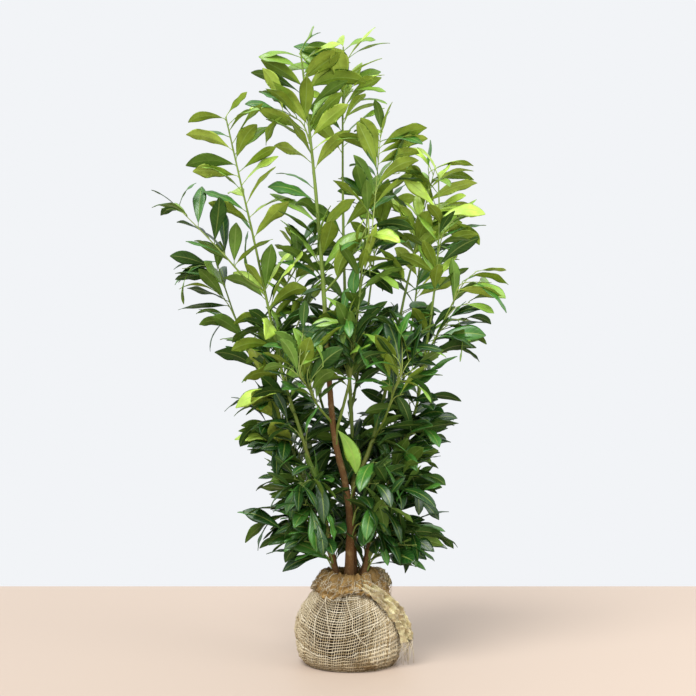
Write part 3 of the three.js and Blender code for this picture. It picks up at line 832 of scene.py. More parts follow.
class Grower:
    """Fills one mass with shoots and leaves, by a seeded rule."""

    ATTEMPTS = 7  # at a leaf
    GOOD_FIT = 0.004  # a misfit small enough to stop looking
    POOR_FIT = 0.05  # a misfit that leaves the node bare
    TIP_ROOM = 0.012  # how far a leaf's tip may stand out of its mass
    MIDDLE_ROOM = 0.02  # how far its middle may
    GROUND_GAP = 0.004  # the least gap from a leaf to the ball and the collar
    LIMB_ROOM = 0.022  # how near to a mass a limb bears its leaves
    LIMB_STRIDE = 3  # points of a limb from one look at it to the next
    TARGET_SHARE = 0.62  # of the way out from a mass's middle, where side shoots end
    LEADER_SHARE = 0.72  # of the way to a mass's far end, where its leader ends
    BARE_TIP = 0.002
    TWIG_SIDES = 7
    TWIG_TIP = 0.0011  # radius

    def __init__(self, name, spray, settings, seed):
        self.name = name
        self.spray = spray
        self.settings = settings
        self.rng = random.Random(seed)
        self.tree = MASSES[name]
        self.corners, _ = solid_arrays(name + "_leaves")
        self.blades = Heap()
        self.twigs = Heap()
        self.count = 0

    def misfit(self, leaf):
        """How badly a leaf sticks out of its mass or the imported bounds, comes too near the ball and the
        collar, or crosses the trunk's window, in metres.
        """
        points, _, _ = leaf_path(leaf, 5)
        out = max(0.0, outside_by(self.tree, points[-1]) - self.TIP_ROOM)
        out += 5 * max(0.0, *(points[-1] - BOX_HIGH), *(BOX_LOW - points[-1]))
        out += 0.5 * max(0.0, outside_by(self.tree, points[2]) - self.MIDDLE_ROOM)
        for tree in SOLID_GROUND:
            gap = min(outside_by(tree, point) for point in points[1:])
            out += 4 * max(0.0, self.GROUND_GAP - gap)
        trunk = LIMBS["trunk"]
        for point in points[1:]:
            nearest = np.abs(trunk.points[:, 2] - point[2]).argmin()
            ahead = trunk.points[nearest, 1] - point[1]
            aside = abs(trunk.points[nearest, 0] - point[0])
            if WINDOW[0] < point[2] < WINDOW[1] and ahead > 0 and aside < WINDOW_HALF:
                out += 0.5 * (WINDOW_HALF - aside)
        return out

    def best_leaf(self, point, direction, radius, around, size, openness):
        """The best fitting of a few ways to hold a leaf at a node of a shoot."""
        rng = self.rng
        best = None
        for attempt in range(self.ATTEMPTS):
            loose = 0.12 + 0.1 * attempt
            turn = around + rng.uniform(-loose, loose)
            spread = math.radians(rng.uniform(42, 76)) * openness
            normal = unit(np.cross(direction, (0.31, 0.87, 0.2)))
            other = np.cross(direction, normal)
            out = math.cos(turn) * normal + math.sin(turn) * other
            aim = direction * math.cos(spread) + out * math.sin(spread)
            rise = math.asin(max(-1.0, min(1.0, aim[2]))) + rng.uniform(-0.15, 0.3)
            level = aim if math.hypot(aim[0], aim[1]) > 0.2 else out
            heading = math.atan2(level[1], level[0])
            heading -= SIDEWAYS * math.sin(2 * heading)
            grown = size * rng.uniform(0.84, 1.12) * (1 - 0.03 * attempt)
            stalk = self.settings.petiole
            foot = point + out * radius + unit(aim + 0.3 * UP) * stalk
            droop = self.settings.droop * rng.uniform(0.45, 1.35) * (0.75 + 0.35 * math.cos(rise))
            leaf = Leaf(foot, heading, rise, grown, droop, rng.uniform(-0.35, 0.35), rng.uniform(-0.9, 0.9))
            score = self.misfit(leaf)
            if best is None or score < best[0]:
                best = (score, leaf, point + out * radius * 0.6)
            if score < self.GOOD_FIT:
                break
        return best

    def tint(self):
        shares = PALETTES[self.spray.palette]
        return TINTS.index(self.rng.choices(list(shares), list(shares.values()))[0])

    def hang(self, leaf, start):
        finish = 3 * self.tint()
        add_leaf(self.blades, leaf, self.rng, self.settings, finish)
        add_stalk(self.blades, start, leaf, self.settings, finish + 2)
        self.count += 1

    def clothe(self, limb, first, last, full_size):
        """Leaves in a spiral along a stretch of a limb, closer and smaller at its tip."""
        rng = self.rng
        reach = first
        around = rng.uniform(0, TURN)
        while reach < last:
            point, direction, radius = limb.at(reach)
            left = limb.length - reach
            young = min(1.0, 0.62 + left / 0.045 * 0.38)
            openness = min(1.0, 0.45 + left / 0.06)
            place = (point, direction, radius, around)
            score, leaf, start = self.best_leaf(*place, full_size * young, openness)
            if score < self.POOR_FIT:
                self.hang(leaf, start)
            around += SPIRAL + rng.uniform(-0.25, 0.25)
            close = min(1.0, 0.4 + left / 0.1)
            reach += self.settings.internode * self.spray.gap * rng.uniform(0.75, 1.2) * close

    def shoot(self, points, radius, bare, full_size):
        """A new shoot along a path, leafy beyond its bare foot."""
        path = smooth_path(points, 0.008)
        limb = Limb(path, np.linspace(radius, self.TWIG_TIP, len(path)))
        normals = carried_normals(limb.points)
        add_tube(self.twigs, limb.points, normals, limb.radii, limb.radii, self.TWIG_SIDES)
        self.clothe(limb, bare * limb.length, limb.length - self.BARE_TIP, full_size)
        return limb

    def stretch_inside(self, limb):
        """The stretch of a limb that runs through the mass."""
        stride = self.LIMB_STRIDE
        gap = np.array([outside_by(self.tree, point) for point in limb.points[::stride]])
        inside = np.flatnonzero(gap < self.LIMB_ROOM)
        if not len(inside):
            return None
        last = min(inside[-1] * stride, len(limb.points) - 1)
        return limb.reach[inside[0] * stride], limb.reach[last]

    def targets(self, count):
        """Points spread evenly just under the mass's surface."""
        if not count:
            return []
        middle = self.corners.mean(0)
        pulled = middle + (self.corners - middle) * self.TARGET_SHARE
        chosen = [pulled[self.rng.randrange(len(pulled))]]
        while len(chosen) < count:
            gaps = np.min([np.linalg.norm(pulled - one, axis=1) for one in chosen], axis=0)
            chosen.append(pulled[(gaps * (0.8 + 0.2 * self.rng.random())).argmax()])
        return chosen

    def twig_to(self, target, limbs, full_size):
        """A side shoot from the nearest limb, up and out to a point in the mass."""
        rng = self.rng
        low = target - UP * rng.uniform(0.07, 0.13)
        limb, k = nearest_limb(limbs, low)
        start = limb.points[k]
        direction = limb.directions[k]
        span = np.linalg.norm(target - start)
        out = unit(target - start)
        bend = start + direction * span * 0.3 + out * span * 0.25 + UP * span * 0.02
        radius = min(self.settings.shoot, limb.radii[k] * 0.8)
        self.shoot((start, bend, target), radius, 0.22, full_size)

    def fill(self):
        """Leaves on every limb that runs through the mass, its leader, and side shoots."""
        size = self.settings.blade * self.spray.size
        for name, limb in LIMBS.items():
            stretch = self.stretch_inside(limb)
            if stretch:
                self.clothe(limb, stretch[0], min(stretch[1], limb.length - self.BARE_TIP), size)
        limbs = list(LIMBS.values())
        if self.spray.leader:
            bough = LIMBS[self.spray.leader]
            tip, direction, radius = bough.at(bough.length)
            far = self.corners[np.linalg.norm(self.corners - tip, axis=1).argmax()]
            end = tip + (far - tip) * self.LEADER_SHARE
            bend = tip + direction * np.linalg.norm(end - tip) * 0.45
            limbs.append(self.shoot((tip - direction * 0.004, bend, end), radius * 0.92, 0.04, size))
        for target in self.targets(self.spray.twigs):
            self.twig_to(target, limbs, size)
        if self.name == "front_heart":
            self.hang_in_front(limbs[0])

    def hang_in_front(self, trunk):
        """The one leaf that hangs in front of the trunk, on a bare shoot of its own."""
        foot = HANGING_LEAF.foot
        k = np.abs(trunk.points[:, 2] - foot[2] + 0.05).argmin()
        start = trunk.points[k]
        path = smooth_path((start, (start + foot) / 2 + UP * 0.012, foot), 0.006)
        radii = np.linspace(self.settings.shoot * 0.8, 0.0013, len(path))
        add_tube(self.twigs, path, carried_normals(path), radii, radii, self.TWIG_SIDES)
        finish = 3 * TINTS.index("spring")
        add_leaf(self.blades, HANGING_LEAF, self.rng, self.settings, finish)


def nearest_limb(limbs, point):
    """The limb that passes nearest to a point, and where along it."""
    gaps = [np.linalg.norm(limb.points - point, axis=1) for limb in limbs]
    choice = min(range(len(limbs)), key=lambda n: gaps[n].min())
    return limbs[choice], gaps[choice].argmin()


# ---- bark --------------------------------------------------------------------------------

BARK_SIDES = 16
SCAR_GAP = 0.034  # from one old leaf's scar to the next
SCAR_LENGTH = 0.005
ROOT_FLARE = 0.002


def bark_radius(limb, reach, around, settings, seed, stout):
    """A limb's radius at a place on it: wrinkles, old leaf scars, and a flared foot."""
    base = np.interp(reach, limb.reach, limb.radii)
    wrinkle = noise.noise(Vector((3 * math.cos(around), 3 * math.sin(around), reach * 26 + seed * 7)))
    wave = noise.noise(Vector((math.cos(around), math.sin(around), reach * 9 + seed * 3)))
    number = round(reach / SCAR_GAP)
    facing = math.cos(around - number * SPIRAL)
    off = (reach - number * SCAR_GAP) / SCAR_LENGTH
    scar = max(0.0, facing) ** 3 * math.exp(-off * off)
    flare = stout * math.exp(-reach / 0.03) * (0.5 + 0.5 * math.cos(4 * around + seed))
    bumps = settings.relief * 0.8 * wrinkle + base * (0.07 * wave + 0.14 * scar)
    return 0.97 * base + bumps + flare * ROOT_FLARE


def grow_bark(node, limb, settings, finish, seed):
    """The bark of one limb, in place of its solid."""
    rings = max(4, int(limb.length / settings.ring))
    stations = np.linspace(0, limb.length, rings)
    points = between_points(stations, limb.reach, limb.points)
    normals = carried_normals(points, (0.0, 1.0, 0.0))
    along = tangents(points)
    across = np.cross(along, normals)
    around = np.arange(BARK_SIDES) / BARK_SIDES * TURN
    stout = 1.0 if node == "trunk" else 0.45 if node in STEMS else 0.0
    radius = np.array(
        [[bark_radius(limb, r, a, settings, seed, stout) for a in around] for r in stations]
    )
    taper = np.clip((limb.length - stations) / 0.004, 0.25, 1.0)[:, None] ** 0.5
    radius = (radius * taper)[..., None]
    sideways = np.cos(around)[None, :, None] * across[:, None, :]
    outward = sideways + np.sin(around)[None, :, None] * normals[:, None, :]
    corners = (points[:, None, :] + outward * radius).reshape(-1, 3)
    uv = uv_grid(np.arange(BARK_SIDES)[None, :] / BARK_SIDES, stations[:, None])
    heap = Heap()
    heap.add(corners, uv, skin(rings, BARK_SIDES)[:, ::-1])
    heap.add_faces(caps(rings, BARK_SIDES))
    heap.piece(node + "_bark", [finish], "bark" if node in STEMS else "green_bark", (node,))


# ---- the root ball -----------------------------------------------------------------------

BALL_HEART = np.array((-0.006, 0.0, 0.105))
FOOT_RISE = -0.683  # angle below level, from the ball's heart, of its foot's rim
NECK_RISE = 1.13  # angle above level of its neck
THREADS_ROUND = 146
THREADS_HIGH = 38
WEAVE_DEPTH = 0.0009
WEAVE_LIFT = 0.0012  # of the threads' middles above the surface they are woven over
CORE_DEPTH = 0.0012  # of the soil under that surface
CORE_SIDES = 120
CORE_RINGS = 48
YARN_SIDES = 4
YARN_TWIST = 260  # plies that pass by along a metre of yarn
WEAVE_SEED = 5  # of the threads' drift, width and wear
DRIFT = 0.0264  # how far threads stray from their places, as an angle
SAG = 0.42  # how far the cross threads rise from their lowest place, as an angle
WARP_LEAN = 0.16  # turn of the upright threads for each unit that they rise
SAG_TURN = math.radians(-108)  # where the cross threads hang lowest
PULLED_TURN = math.radians(-106)  # where a run of threads has been pulled out


def sight_line(turn, rise):
    """The direction from the ball's heart at a compass turn and an angle above level."""
    return Vector((math.cos(turn) * math.cos(rise), math.sin(turn) * math.cos(rise), math.sin(rise)))


class BallCloth:
    """Places on the ball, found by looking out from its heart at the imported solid."""

    def __init__(self, settings):
        self.settings = settings
        self.tree = solid_tree("root_ball")

    def radius(self, turn, rise):
        ray = sight_line(turn, rise)
        hit = self.tree.ray_cast(Vector(BALL_HEART), ray)[0]
        base = (hit - Vector(BALL_HEART)).length
        high = max(0.0, min(1.0, (rise - FOOT_RISE) / (NECK_RISE - FOOT_RISE)))
        lump = self.settings.lump * noise.fractal(ray * 5.5, 0.8, 2.0, 3)
        creases = math.sin(13 * turn + 2.2 * noise.noise(ray * 2.5) + 1.0)
        folds = self.settings.fold * creases * high**2.2
        low = min(1.0, (rise - FOOT_RISE) / 0.12)
        return base + (lump * 1.2 + folds) * low, ray

    def grid(self, turns, rises):
        """Surface points and outward normals for every pairing of a turn and a rise."""
        points = np.empty((len(turns), len(rises), 3))
        for i, turn in enumerate(turns):
            sag = SAG * (1 - math.exp(-2.2 * (1 - math.cos(turn - SAG_TURN))))
            for j, rise in enumerate(rises):
                at = Vector((3 * math.cos(turn), 3 * math.sin(turn), 2.4 * rise))
                drift = noise.noise_vector(at) * DRIFT
                fixed = math.sin(math.pi * (rise - FOOT_RISE) / (NECK_RISE - FOOT_RISE))
                swung = turn + drift.x * fixed + WARP_LEAN * rise
                radius, ray = self.radius(swung, rise + (drift.y + sag) * fixed)
                points[i, j] = BALL_HEART + np.array(ray) * radius
        round_way = np.roll(points, -1, 0) - np.roll(points, 1, 0)
        normals = unit(np.cross(round_way, np.gradient(points, axis=1)))
        return points, normals


def closedness(points):
    """1 where the cloth's threads lie close, 0 at its open front."""
    x, y, z = points[..., 0], points[..., 1], points[..., 2]
    offset = ((x + 0.03) * 9.0) ** 2 + ((z - 0.12) * 10.0) ** 2
    ragged = np.array([noise.noise(Vector(p) * 17.0) for p in points.reshape(-1, 3)]).reshape(x.shape)
    return np.clip(offset + 0.35 * ragged + np.clip((y + 0.08) * 10, 0, 1) - 0.45, 0, 1)


def thread_half(open_half, gap, wide, settings, rng):
    """Half the width of a thread along its length, wider where the cloth is closed."""
    half = np.minimum(open_half, gap * 0.8)
    half = half + (gap * settings.closing - half) * wide
    return half * rng.uniform(0.85, 1.15)


def add_thread(heap, path, facing, half, number, side, rng, looped=False):
    """One thread, over and under the others: side is 1 or -1, for the two ways of the weave."""
    sway = side * np.cos(math.pi * (np.arange(len(path)) / 2 + number)) * WEAVE_DEPTH
    lifted = path + facing * (sway + WEAVE_LIFT)[:, None]
    worn = rng.choices((0, 1, 2), (0.3, 0.6, 0.1))[0]
    add_tube(heap, lifted, facing, half, half * 0.25 + 0.0004, YARN_SIDES, worn, looped, YARN_TWIST)


def weave_ball(settings, yarns, soil):
    """The ball of soil and, over it, the cloth's threads, each passing over and under."""
    cloth = BallCloth(settings)
    rng = random.Random(WEAVE_SEED)
    noise.seed_set(WEAVE_SEED)  # noise vectors start from the clock without it
    turns = np.arange(2 * THREADS_ROUND) / (2 * THREADS_ROUND) * TURN
    rises = np.linspace(FOOT_RISE + 0.01, NECK_RISE, 2 * THREADS_HIGH)
    points, normals = cloth.grid(turns, rises)
    wide = closedness(points)

    warp = Heap()
    pulled = round(PULLED_TURN % TURN / TURN * THREADS_ROUND)
    for i in range(THREADS_ROUND):
        if i == pulled:
            continue
        path, facing = points[2 * i], normals[2 * i]
        gap = np.linalg.norm(points[(2 * i + 2) % len(points)] - path, axis=1) / 2
        half = thread_half(settings.warp, gap, wide[2 * i], settings, rng)
        add_thread(warp, path, facing, half, i, 1, rng)
    weft = Heap()
    for j in range(THREADS_HIGH):
        path, facing = points[:, 2 * j], normals[:, 2 * j]
        above = points[:, min(2 * j + 2, 2 * THREADS_HIGH - 1)]
        gap = np.linalg.norm(above - points[:, max(0, 2 * j - 2)], axis=1) / 4
        half = thread_half(settings.weft, gap, wide[:, 2 * j], settings, rng)
        add_thread(weft, path, facing, half, j, -1, rng, looped=True)
    warp.piece("ball_warp", yarns, "hessian", ("root_ball",))
    weft.piece("ball_weft", yarns, "hessian", ("root_ball",))

    # The core: soil at the open front, and elsewhere the jute darkened as painted shade between the threads.
    core_turns = np.arange(CORE_SIDES) / CORE_SIDES * TURN
    core_rises = np.linspace(FOOT_RISE, NECK_RISE, CORE_RINGS)
    body, facing = cloth.grid(core_turns, core_rises)
    body = body - facing * CORE_DEPTH
    body[:, 0, 2] = 0.0005
    rings = body.transpose(1, 0, 2).reshape(-1, 3)
    ball = Heap()
    ball.add(rings, rings[:, :2] * 3, skin(CORE_RINGS, CORE_SIDES))
    ball.add_faces(caps(CORE_RINGS, CORE_SIDES, flip=True))
    ball.piece("ball_soil", [soil], "root_ball", ("root_ball",))


# Where the collar's hem is drawn up: middle and width in degrees round the ball, and height.
HEM_ARCHES = ((-82, 26, 0.026), (-168, 34, 0.022), (70, 50, 0.008))
# Half the collar's section, from the hem up the outside, over the rim and down the inside.
COLLAR_RADII = (0.096, 0.112, 0.108, 0.097, 0.084, 0.070, 0.062, 0.059, 0.061, 0.078)
COLLAR_HEIGHTS = (0.190, 0.190, 0.209, 0.231, 0.251, 0.262, 0.256, 0.242, 0.232, 0.204)
COLLAR_SIDES = 480
COLLAR_PROFILE = 44
COLLAR_SEED = 8
COLLAR_FIBRES = 430
PLEATS = ((9, 1.0), (17, 0.7), (31, 0.5))  # how many go round, and how deep they are
RAGGED = 0.011  # how far the collar's edges wander up and down
FIBRE_HALF = 0.0008  # half the width of a loose fibre
FIBRE_STEP = 0.005


def swell(angle, middle, width):
    """A smooth hump round one direction, from 0 to 1."""
    off = (angle - math.radians(middle) + math.pi) % TURN - math.pi
    return math.exp(-((off / math.radians(width)) ** 2))


def gather_collar(settings, cloth_material, yarns):
    """The cloth drawn together round the stems: a ragged rim over deep uneven pleats."""
    rng = random.Random(COLLAR_SEED)
    knots = np.arange(len(COLLAR_RADII) + 1)
    t = np.arange(COLLAR_PROFILE) / COLLAR_PROFILE * len(COLLAR_RADII)
    radii = np.interp(t, knots, (*COLLAR_RADII, COLLAR_RADII[0]))
    heights = np.interp(t, knots, (*COLLAR_HEIGHTS, COLLAR_HEIGHTS[0]))
    outer = np.clip((t - 0.2) / 0.8, 0, 1) * np.clip((7.0 - t) / 1.5, 0, 1)
    hem = np.clip((3.0 - t) / 2, 0, 1)
    waves = [(count, rng.uniform(0, TURN), depth) for count, depth in PLEATS]
    corners = np.empty((COLLAR_SIDES, COLLAR_PROFILE, 3))
    for k in range(COLLAR_SIDES):
        angle = k / COLLAR_SIDES * TURN
        spot = Vector((math.cos(angle), math.sin(angle), 0.0))
        warped = angle + 0.14 * noise.noise(spot * 2)
        pleat = 0
        for count, phase, depth in waves:
            pleat += depth * (1 - 2 * abs(math.sin(count * warped / 2 + phase)))
        crumple = np.array([crumpled(spot, height) for height in heights])
        bulge = settings.fold * (1.3 * pleat + 2.2 * crumple) * outer
        frayed = noise.noise(spot * 3.5 + UPRIGHT) + 0.7 * noise.noise(spot * 11.0)
        ragged = RAGGED * frayed * np.clip(t - 2, 0, 1) * outer
        raised = sum(height * swell(angle, middle, width) for middle, width, height in HEM_ARCHES)
        raised = (raised + RAGGED * frayed) * hem
        twisted = angle + 3.0 * (heights - 0.2)
        reach = radii + bulge - 0.4 * raised
        corners[k, :, 0] = reach * np.cos(twisted)
        corners[k, :, 1] = reach * np.sin(twisted)
        corners[k, :, 2] = heights + ragged + raised
    uv = uv_grid(np.arange(COLLAR_SIDES)[:, None] / COLLAR_SIDES * 4.6, t[None, :] / 8)
    heap = Heap()
    heap.add(corners.reshape(-1, 3), uv, skin(COLLAR_SIDES, COLLAR_PROFILE, True)[:, ::-1])
    faces = np.concatenate(heap.faces[4])
    heap.piece("collar_gathers", [cloth_material], "hessian", ("hessian_collar",))

    tree = BVHTree.FromPolygons(corners.reshape(-1, 3).tolist(), faces.tolist())
    fibres = Heap()
    for _ in range(COLLAR_FIBRES):
        turn = rng.uniform(0, TURN)
        start = Vector((0.11 * math.cos(turn), 0.11 * math.sin(turn), rng.uniform(0.195, 0.268)))
        stray_fibre(fibres, tree, start, rng, rng.uniform(0.02, 0.06), 0.4)
    fibres.piece("collar_fibres", yarns, "hessian", ("hessian_collar",))


def crumpled(spot, height):
    """Sharp-edged dents, from -1 to 1, in the gathered cloth."""
    place = spot * 4.0 + UPRIGHT * height * 34
    return 1 - 2.6 * abs(noise.noise(place)) + 0.5 * noise.noise(place * 2.7)


def stray_fibre(heap, tree, start, rng, reach, sag):
    """A loose fibre that wanders over a surface, here and there lifted off it."""
    near, normal, _, _ = tree.find_nearest(start)
    heading = Vector((rng.gauss(0, 1), rng.gauss(0, 1), rng.gauss(0, 0.6)))
    points = []
    for _ in range(max(4, int(reach / FIBRE_STEP))):
        points.append(near + normal * rng.uniform(0.0006, 0.003))
        heading += Vector((rng.gauss(0, 0.35), rng.gauss(0, 0.35), rng.gauss(0, 0.35) - 0.15 * sag))
        heading -= normal * heading.dot(normal)
        heading.normalize()
        near, normal, _, _ = tree.find_nearest(near + heading * FIBRE_STEP)
    path = smooth_path([tuple(point) for point in points], 0.003)
    half = FIBRE_HALF * rng.uniform(0.5, 1.2)
    worn = rng.choices((0, 1, 2), (0.45, 0.35, 0.2))[0]
    add_tube(heap, path, carried_normals(path), half, half * 0.7, YARN_SIDES, worn, turns=YARN_TWIST)


class ClothEnd(NamedTuple):
    """A loose end of the cloth: the way it lies, its width, and its frayed threads."""

    route: tuple
    half_width: tuple
    facing: tuple
    pleats: float
    fringe: int
    fringe_length: float
    seed: int


CLOTH_ENDS = {
    "hessian_tail": ClothEnd(
        (
            (0.026, -0.070, 0.236),
            (0.066, -0.092, 0.216),
            (0.106, -0.088, 0.183),
            (0.139, -0.074, 0.146),
            (0.157, -0.064, 0.106),
            (0.165, -0.058, 0.072),
        ),
        (0.017, 0.025),
        (0.45, -0.85, 0.35),
        2.5,
        34,
        0.042,
        3,
    ),
    "hessian_ear": ClothEnd(
        ((0.058, 0.062, 0.236), (0.084, 0.074, 0.246), (0.104, 0.078, 0.226), (0.113, 0.080, 0.206)),
        (0.013, 0.017),
        (0.2, 0.7, 0.6),
        1.5,
        14,
        0.02,
        4,
    ),
}


CLOTH_STEP = 0.003  # from row to row of a cloth end's mesh
CLOTH_COLUMNS = 36
CLOTH_THICKNESS = 0.0012
CLOTH_MAP = 0.15  # width of cloth that the map's width covers


def drape_end(node, end, cloth_material, yarns):
    """A sheet of cloth with lengthwise folds, its far edge frayed into hanging threads."""
    rng = random.Random(end.seed)
    points = smooth_path(end.route, CLOTH_STEP)
    rows = len(points)
    normals = carried_normals(points, end.facing)
    along = tangents(points)
    across = np.cross(along, normals)
    u = np.linspace(-1, 1, CLOTH_COLUMNS)
    t = np.linspace(0, 1, rows)
    sheets = []
    for face in (1, -1):
        width = np.interp(t, (0, 1), end.half_width)[:, None] * (0.82 + 0.18 * np.sin(math.pi * t))[:, None]
        folds = 0.006 * np.sin(TURN * end.pleats * u[None, :] / 2 + 1.4 + 2.2 * t[:, None])
        crumple = np.array([[0.008 * crumpled(Vector((a / 2, b * 2.4, end.seed)), 0) for a in u] for b in t])
        lift = folds + crumple - 0.010 * u[None, :] ** 2 * t[:, None] + face * CLOTH_THICKNESS / 2
        ragged = np.array([0.008 * noise.noise(Vector((a * 9, 0.3, end.seed))) for a in u])[None, :]
        hang = ragged * (t[:, None] > 0.98)
        offsets = (across, width * u[None, :]), (normals, lift), (along, hang)
        sheets.append(offset_grid(points, *offsets))
    ring = np.concatenate((sheets[0], sheets[1][:, ::-1]), axis=1)
    map_u = np.concatenate((u, u[::-1]))[None, :] * end.half_width[1] * 2 / CLOTH_MAP
    uv = uv_grid(map_u, t[:, None] * rows * CLOTH_STEP / CLOTH_MAP)
    sides = 2 * CLOTH_COLUMNS
    heap = Heap()
    heap.add(ring.reshape(-1, 3), uv, skin(rows, sides))
    heap.add_faces(caps(rows, sides, flip=True))
    faces = np.concatenate(heap.faces[4])
    heap.piece(node + "_cloth", [cloth_material], "hessian", (node,))

    fringe = Heap()
    tree = BVHTree.FromPolygons(ring.reshape(-1, 3).tolist(), faces.tolist())
    for _ in range(end.fringe * 3):
        start = Vector(points[rng.randrange(rows)]) + Vector(normals[0]) * 0.02
        start += Vector((rng.uniform(-0.03, 0.03), 0.0, rng.uniform(-0.03, 0.03)))
        stray_fibre(fringe, tree, start, rng, rng.uniform(0.02, 0.07), 1.0)
    edge = sheets[0][-1]
    for k in range(end.fringe):
        place = (k + rng.random()) / end.fringe * (CLOTH_COLUMNS - 1)
        start = between_points(place, np.arange(CLOTH_COLUMNS), edge)
        reach = end.fringe_length * rng.uniform(0.3, 1.6)
        swing = np.array((rng.uniform(-0.7, 0.3), rng.uniform(-0.4, 0.4), 0.0)) * reach
        middle = start - UP * reach * 0.5 + swing * rng.uniform(0.2, 1.0)
        tip = start - UP * reach + swing
        tip[2] = max(tip[2], 0.004)
        path = smooth_path((start + UP * 0.004, start - UP * reach * 0.2, middle, tip), 0.005)
        path = kept_off_ball(path, 0.002)
        half = 0.0006 * rng.uniform(0.7, 1.3)
        worn = rng.randrange(2)
        add_tube(fringe, path, carried_normals(path), half, half, YARN_SIDES, worn, turns=YARN_TWIST)
    fringe.piece(node + "_fringe", yarns, "hessian", (node,))


# Straws over the ball: compass turn and rise of both ends, in degrees, seen from its heart.
STRAWS = (
    (-124, 42, -128, -14),
    (-123, 42, -106, -2),
    (-92, 44, -84, 2),
    (-84, 4, -70, -12),
    (-62, 10, -82, -10),
)
STRAW_POINTS = 7
STRAW_LIFT = 0.0075
STRAW_HALVES = (0.0014, 0.0009)  # half its width, half its thickness
STRAW_SIDES = 5
LOOSE_THREADS = 90
STRAND_SEED = 21


def kept_off_ball(path, gap):
    """A path moved out to lie on the ball's cloth wherever it would sink into it."""
    moved = path.copy()
    for k, point in enumerate(path):
        near, normal, _, _ = SOLID_GROUND[0].find_nearest(Vector(point))
        depth = (Vector(point) - near).dot(normal)
        if depth < gap:
            moved[k] = np.array(near + normal * gap)
    return moved


def on_ball(turn, rise, lift):
    """The place on the ball's packed surface, seen from its heart, raised a little."""
    ray = sight_line(turn, rise)
    return SOLID_GROUND[0].ray_cast(Vector(BALL_HEART), ray)[0] + ray * lift


def lay_strands(yarns):
    """Pale straws that hang from the knot, and loose threads all over the cloth."""
    rng = random.Random(STRAND_SEED)
    heap = Heap()
    for first_turn, first_rise, last_turn, last_rise in STRAWS:
        stray = [0.02 * rng.gauss(0, 1) for _ in range(STRAW_POINTS)]
        turns = np.radians(np.linspace(first_turn, last_turn, STRAW_POINTS)) + stray
        rises = np.radians(np.linspace(first_rise, last_rise, STRAW_POINTS))
        points = [tuple(on_ball(turn, rise, STRAW_LIFT)) for turn, rise in zip(turns, rises)]
        path = smooth_path(points, 0.004)
        add_tube(heap, path, carried_normals(path), *STRAW_HALVES, STRAW_SIDES, turns=YARN_TWIST)
    for _ in range(LOOSE_THREADS):
        start = on_ball(rng.uniform(0, TURN), rng.uniform(-0.5, 1.0), 0.004)
        stray_fibre(heap, SOLID_GROUND[0], start, rng, rng.uniform(0.03, 0.09), 0.6)
    heap.piece("loose_strands", yarns, "hessian", ("root_ball",))


# ---- operators ---------------------------------------------------------------------------


def leaf_finishes(settings):
    """For every tint: its upper face, its lower face and its midrib."""
    finishes = []
    for tint in TINTS:
        upper = getattr(settings, tint + "_upper")[:]
        under = getattr(settings, tint + "_under")[:]
        rib = tuple((r + u) / 2 for r, u in zip(settings.rib, upper))
        finishes.append(blade_finish(tint + "_leaf", upper, rib, 1.0, 0.35))
        finishes.append(blade_finish(tint + "_leaf_underside", under, rib, 0.15, 0.3))
        finishes.append(rib_finish(tint + "_midrib", rib))
    return finishes


def yarn_finishes(settings):
    """Clean, plain and dirty yarn, made once and then shared."""
    made = []
    for tone in ("pale", "jute", "dirty"):
        name = tone + "_yarn"
        known = bpy.data.materials.get(name)
        made.append(known or thread_finish(name, getattr(settings, tone)[:], settings.stain[:]))
    return made


class SHRUB_OT_grow_bark(bpy.types.Operator):
    """Sweep wrinkled bark along every stem and bough, in place of its solid"""

    bl_idname = "shrub.grow_bark"
    bl_label = "Grow bark"

    def execute(self, context):
        settings = context.scene.shrub_bark
        tones = [getattr(settings, name)[:] for name in ("brown", "grey", "green", "pore")]
        top = settings.browning
        old = bark_finish("trunk_bark", *tones, top - 0.12, top + 0.12)
        young = bark_finish("young_bark", *tones, 0.3, 0.75)
        for seed, (node, limb) in enumerate(LIMBS.items()):
            grow_bark(node, limb, settings, old if node == "trunk" else young, seed)
        return {"FINISHED"}


class SHRUB_OT_grow_sprays(bpy.types.Operator):
    """Fill every mass with leafy shoots that grow on from the limbs"""

    bl_idname = "shrub.grow_sprays"
    bl_label = "Grow sprays"

    def execute(self, context):
        settings = context.scene.shrub_leaves
        finishes = leaf_finishes(settings)
        rib = settings.rib[:]
        shoot = bark_finish("shoot_bark", rib, rib, paint("8A9C48"), rib, 0.0, 0.01)
        for seed, (name, spray) in enumerate(SPRAYS.items(), settings.growth):
            grower = Grower(name, spray, settings, seed)
            grower.fill()
            if not grower.count:
                raise RuntimeError(f"no leaf fits in {name}")
            node = name + "_leaves"
            grower.blades.piece(name + "_blades", finishes, "leaves", (node,))
            if grower.twigs.count:
                grower.twigs.piece(name + "_twigs", [shoot], "green_bark", (node,))
        return {"FINISHED"}


class SHRUB_OT_weave_ball(bpy.types.Operator):
    """Weave the hessian, thread by thread, over the ball of soil"""

    bl_idname = "shrub.weave_ball"
    bl_label = "Weave ball"

    def execute(self, context):
        settings = context.scene.shrub_ball
        # The core's colour: soil at the open front, elsewhere the jute darkened as painted shade between the
        # threads.
        soil = soil_and_gap_shade_finish("ball_soil", settings.soil[:], settings.jute[:], settings.stain[:])
        weave_ball(settings, yarn_finishes(settings), soil)
        return {"FINISHED"}


class SHRUB_OT_gather_collar(bpy.types.Operator):
    """Gather the hessian in pleats round the feet of the stems"""

    bl_idname = "shrub.gather_collar"
    bl_label = "Gather collar"

    def execute(self, context):
        settings = context.scene.shrub_ball
        gold = cloth_finish("gathered_jute", settings.gold[:], settings.stain[:], 90)
        gather_collar(settings, gold, yarn_finishes(settings))
        return {"FINISHED"}


